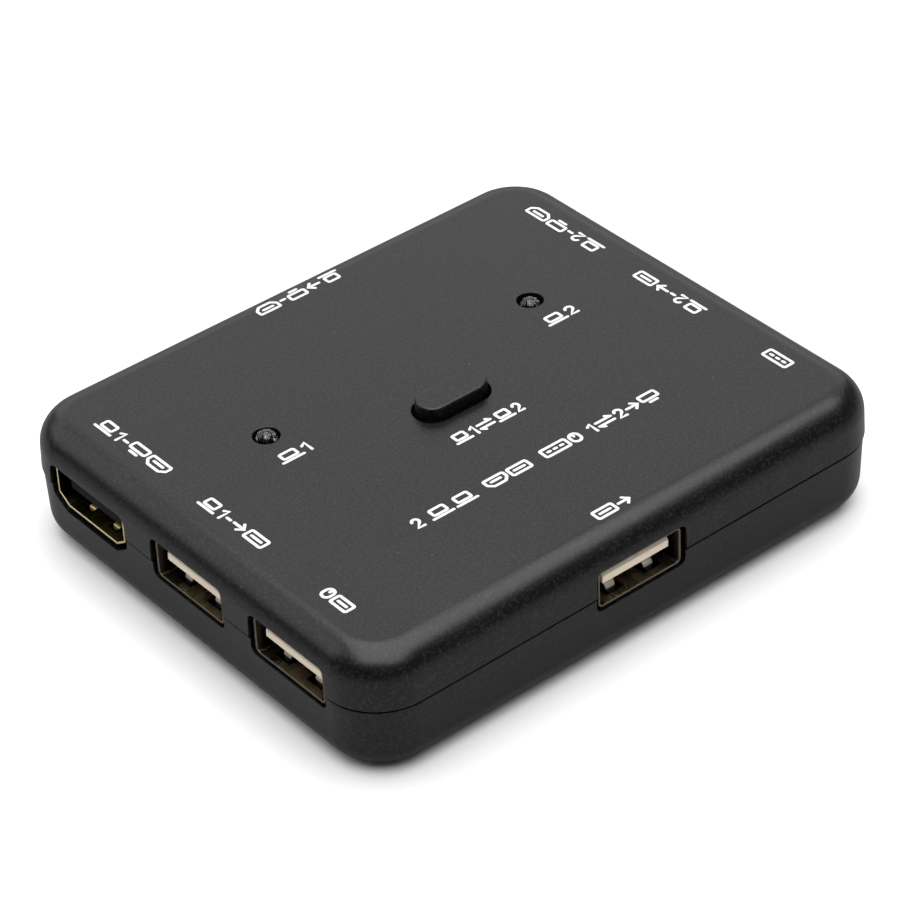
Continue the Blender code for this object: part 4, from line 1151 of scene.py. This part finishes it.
EAST, NORTH, WEST, SOUTH = (1, 0), (0, 1), (-1, 0), (0, -1)
ROWS = {
    "select": ("laptop one swap laptop two", (-6.1, -8.9), EAST, NORTH, 11.6),
    "title_count": ("two", (-20.9, -18.95), EAST, NORTH, 1.4),
    "title_computers": ("laptop laptop", (-18.4, -18.95), EAST, NORTH, 7.5),
    "title_sockets": ("d_socket flat_socket", (-9.06, -18.95), EAST, NORTH, 7.36),
    "title_desk": ("keyboard mouse", (0.4, -18.95), EAST, NORTH, 6.5),
    "title_switch": ("one swap two arrow screen", (8.4, -18.95), EAST, NORTH, 12.0),
    "hub": ("flat_socket arrow", (-3.2, -33.0), EAST, NORTH, 6.0),
    "monitor": ("laptop arrow screen dash d_socket", (7.4, 33.7), WEST, SOUTH, 14.3),
    "computer_1": ("laptop one", (-25.1, 3.1), EAST, NORTH, 5.1),
    "computer_2": ("laptop two", (19.9, 3.0), EAST, NORTH, 5.45),
    "video_1": ("laptop one dash screen d_socket", (-38.0, 27.0), SOUTH, EAST, 15.05),
    "data_1": ("laptop one dash arrow flat_socket", (-38.0, 4.45), SOUTH, EAST, 13.12),
    "mouse": ("mouse flat_socket", (-38.0, -20.3), SOUTH, EAST, 5.3),
    "video_2": ("laptop two dash screen d_socket", (38.1, 12.1), NORTH, WEST, 14.9),
    "data_2": ("laptop two dash arrow flat_socket", (38.1, -8.5), NORTH, WEST, 13.1),
    "keyboard": ("keyboard", (38.1, -25.3), NORTH, WEST, 4.6),
}
white_ink = make_ink()
for label, (marks, start, along, up, length) in ROWS.items():
    printed = print_row("print_" + label, marks.split(), [value * MM for value in start], along, up,
                        length * MM)
    add_piece("print_" + label, printed, white_ink, "case_plastic", [], crisp=80.0)


# ---- table, lights and camera ----
# The box stands on a plain white table under one wide soft light, with two smaller soft
# panels behind it and to its left. The near side of the room is dark.

def make_table_top():
    """White card. Its mirror image in the glossy case is kept dim, and it can't be seen from below."""
    made, tree, shader = new_material("table_white", IOR=1.4)
    mottle = noise(tree, local_place(tree), 40.0, 3.0)
    seen = blended(tree, mottle, (0.94, 0.94, 0.94), (0.96, 0.96, 0.96))
    mirrored = add_node(tree, "LightPath").outputs["Is Glossy Ray"]
    below = add_node(tree, "NewGeometry").outputs["Backfacing"]
    wire(tree, shader.inputs, Base_Color=blended(tree, mirrored, seen, (0.34, 0.34, 0.34)),
         Roughness=ranged(tree, mottle, 0.3, 0.7, 0.75, 0.85), Alpha=maths(tree, "SUBTRACT", 1.0, below))
    return made


def soft_light(name, place, aim, size, radiance, spin=0.0):
    """A rectangular soft box, spun on its own axis. Its power comes from the brightness of its face."""
    lamp = bpy.data.lights.new(name, "AREA")
    lamp.shape = "RECTANGLE"
    lamp.size, lamp.size_y = size
    lamp.energy = radiance * pi * size[0] * size[1]
    holder = link(name, lamp)
    holder.location = place
    facing = (Vector(aim) - Vector(place)).to_track_quat("-Z", "Y").to_matrix()
    holder.rotation_euler = (facing @ Matrix.Rotation(radians(spin), 3, "Z")).to_euler()


def make_camera():
    """A long lens that looks down on the near left corner of the box."""
    lens = bpy.data.cameras.new("camera")
    lens.lens = 140.35
    lens.sensor_width = 36.0
    lens.clip_start = 0.01
    camera = link("camera", lens)
    seen_from = Matrix.Translation(Vector((-0.10, 0.47, 9.5)) * MM)
    azimuth, elevation, roll, distance = -38.02, 36.86, -2.96, 463.7 * MM
    for degrees, axis in ((azimuth, "Z"), (90 - elevation, "X"), (roll, "Z")):
        seen_from = seen_from @ Matrix.Rotation(radians(degrees), 4, axis)
    camera.matrix_world = seen_from @ Matrix.Translation((0, 0, distance))
    bpy.context.scene.camera = camera


TABLE_REACH = 4.0
table_grid = bmesh.new()
bmesh.ops.create_grid(table_grid, x_segments=8, y_segments=8, size=TABLE_REACH)
table_mesh = to_mesh("table", table_grid)
table_mesh.materials.append(make_table_top())
table = link("table", table_mesh)
table.location.z = cad_low.z

soft_light("overhead", (0.04, -0.10, 0.62), (0.04, -0.10, 0.0), (0.96, 0.86), 3.1, 45.0)
soft_light("behind", (0.62, 0.80, 0.50), (0.0, 0.0, 0.0), (1.5, 0.75), 1.05)
soft_light("side", (-0.42, 0.66, 0.54), (0.0, 0.0, 0.0), (0.8, 0.6), 1.3)
room = bpy.data.worlds.new("room")
room.use_nodes = True
room.node_tree.nodes["Background"].inputs["Color"].default_value = (1.0, 1.0, 1.0, 1)
room.node_tree.nodes["Background"].inputs["Strength"].default_value = 0.11
bpy.context.scene.world = room
make_camera()
bpy.context.scene.view_settings.view_transform = "Standard"
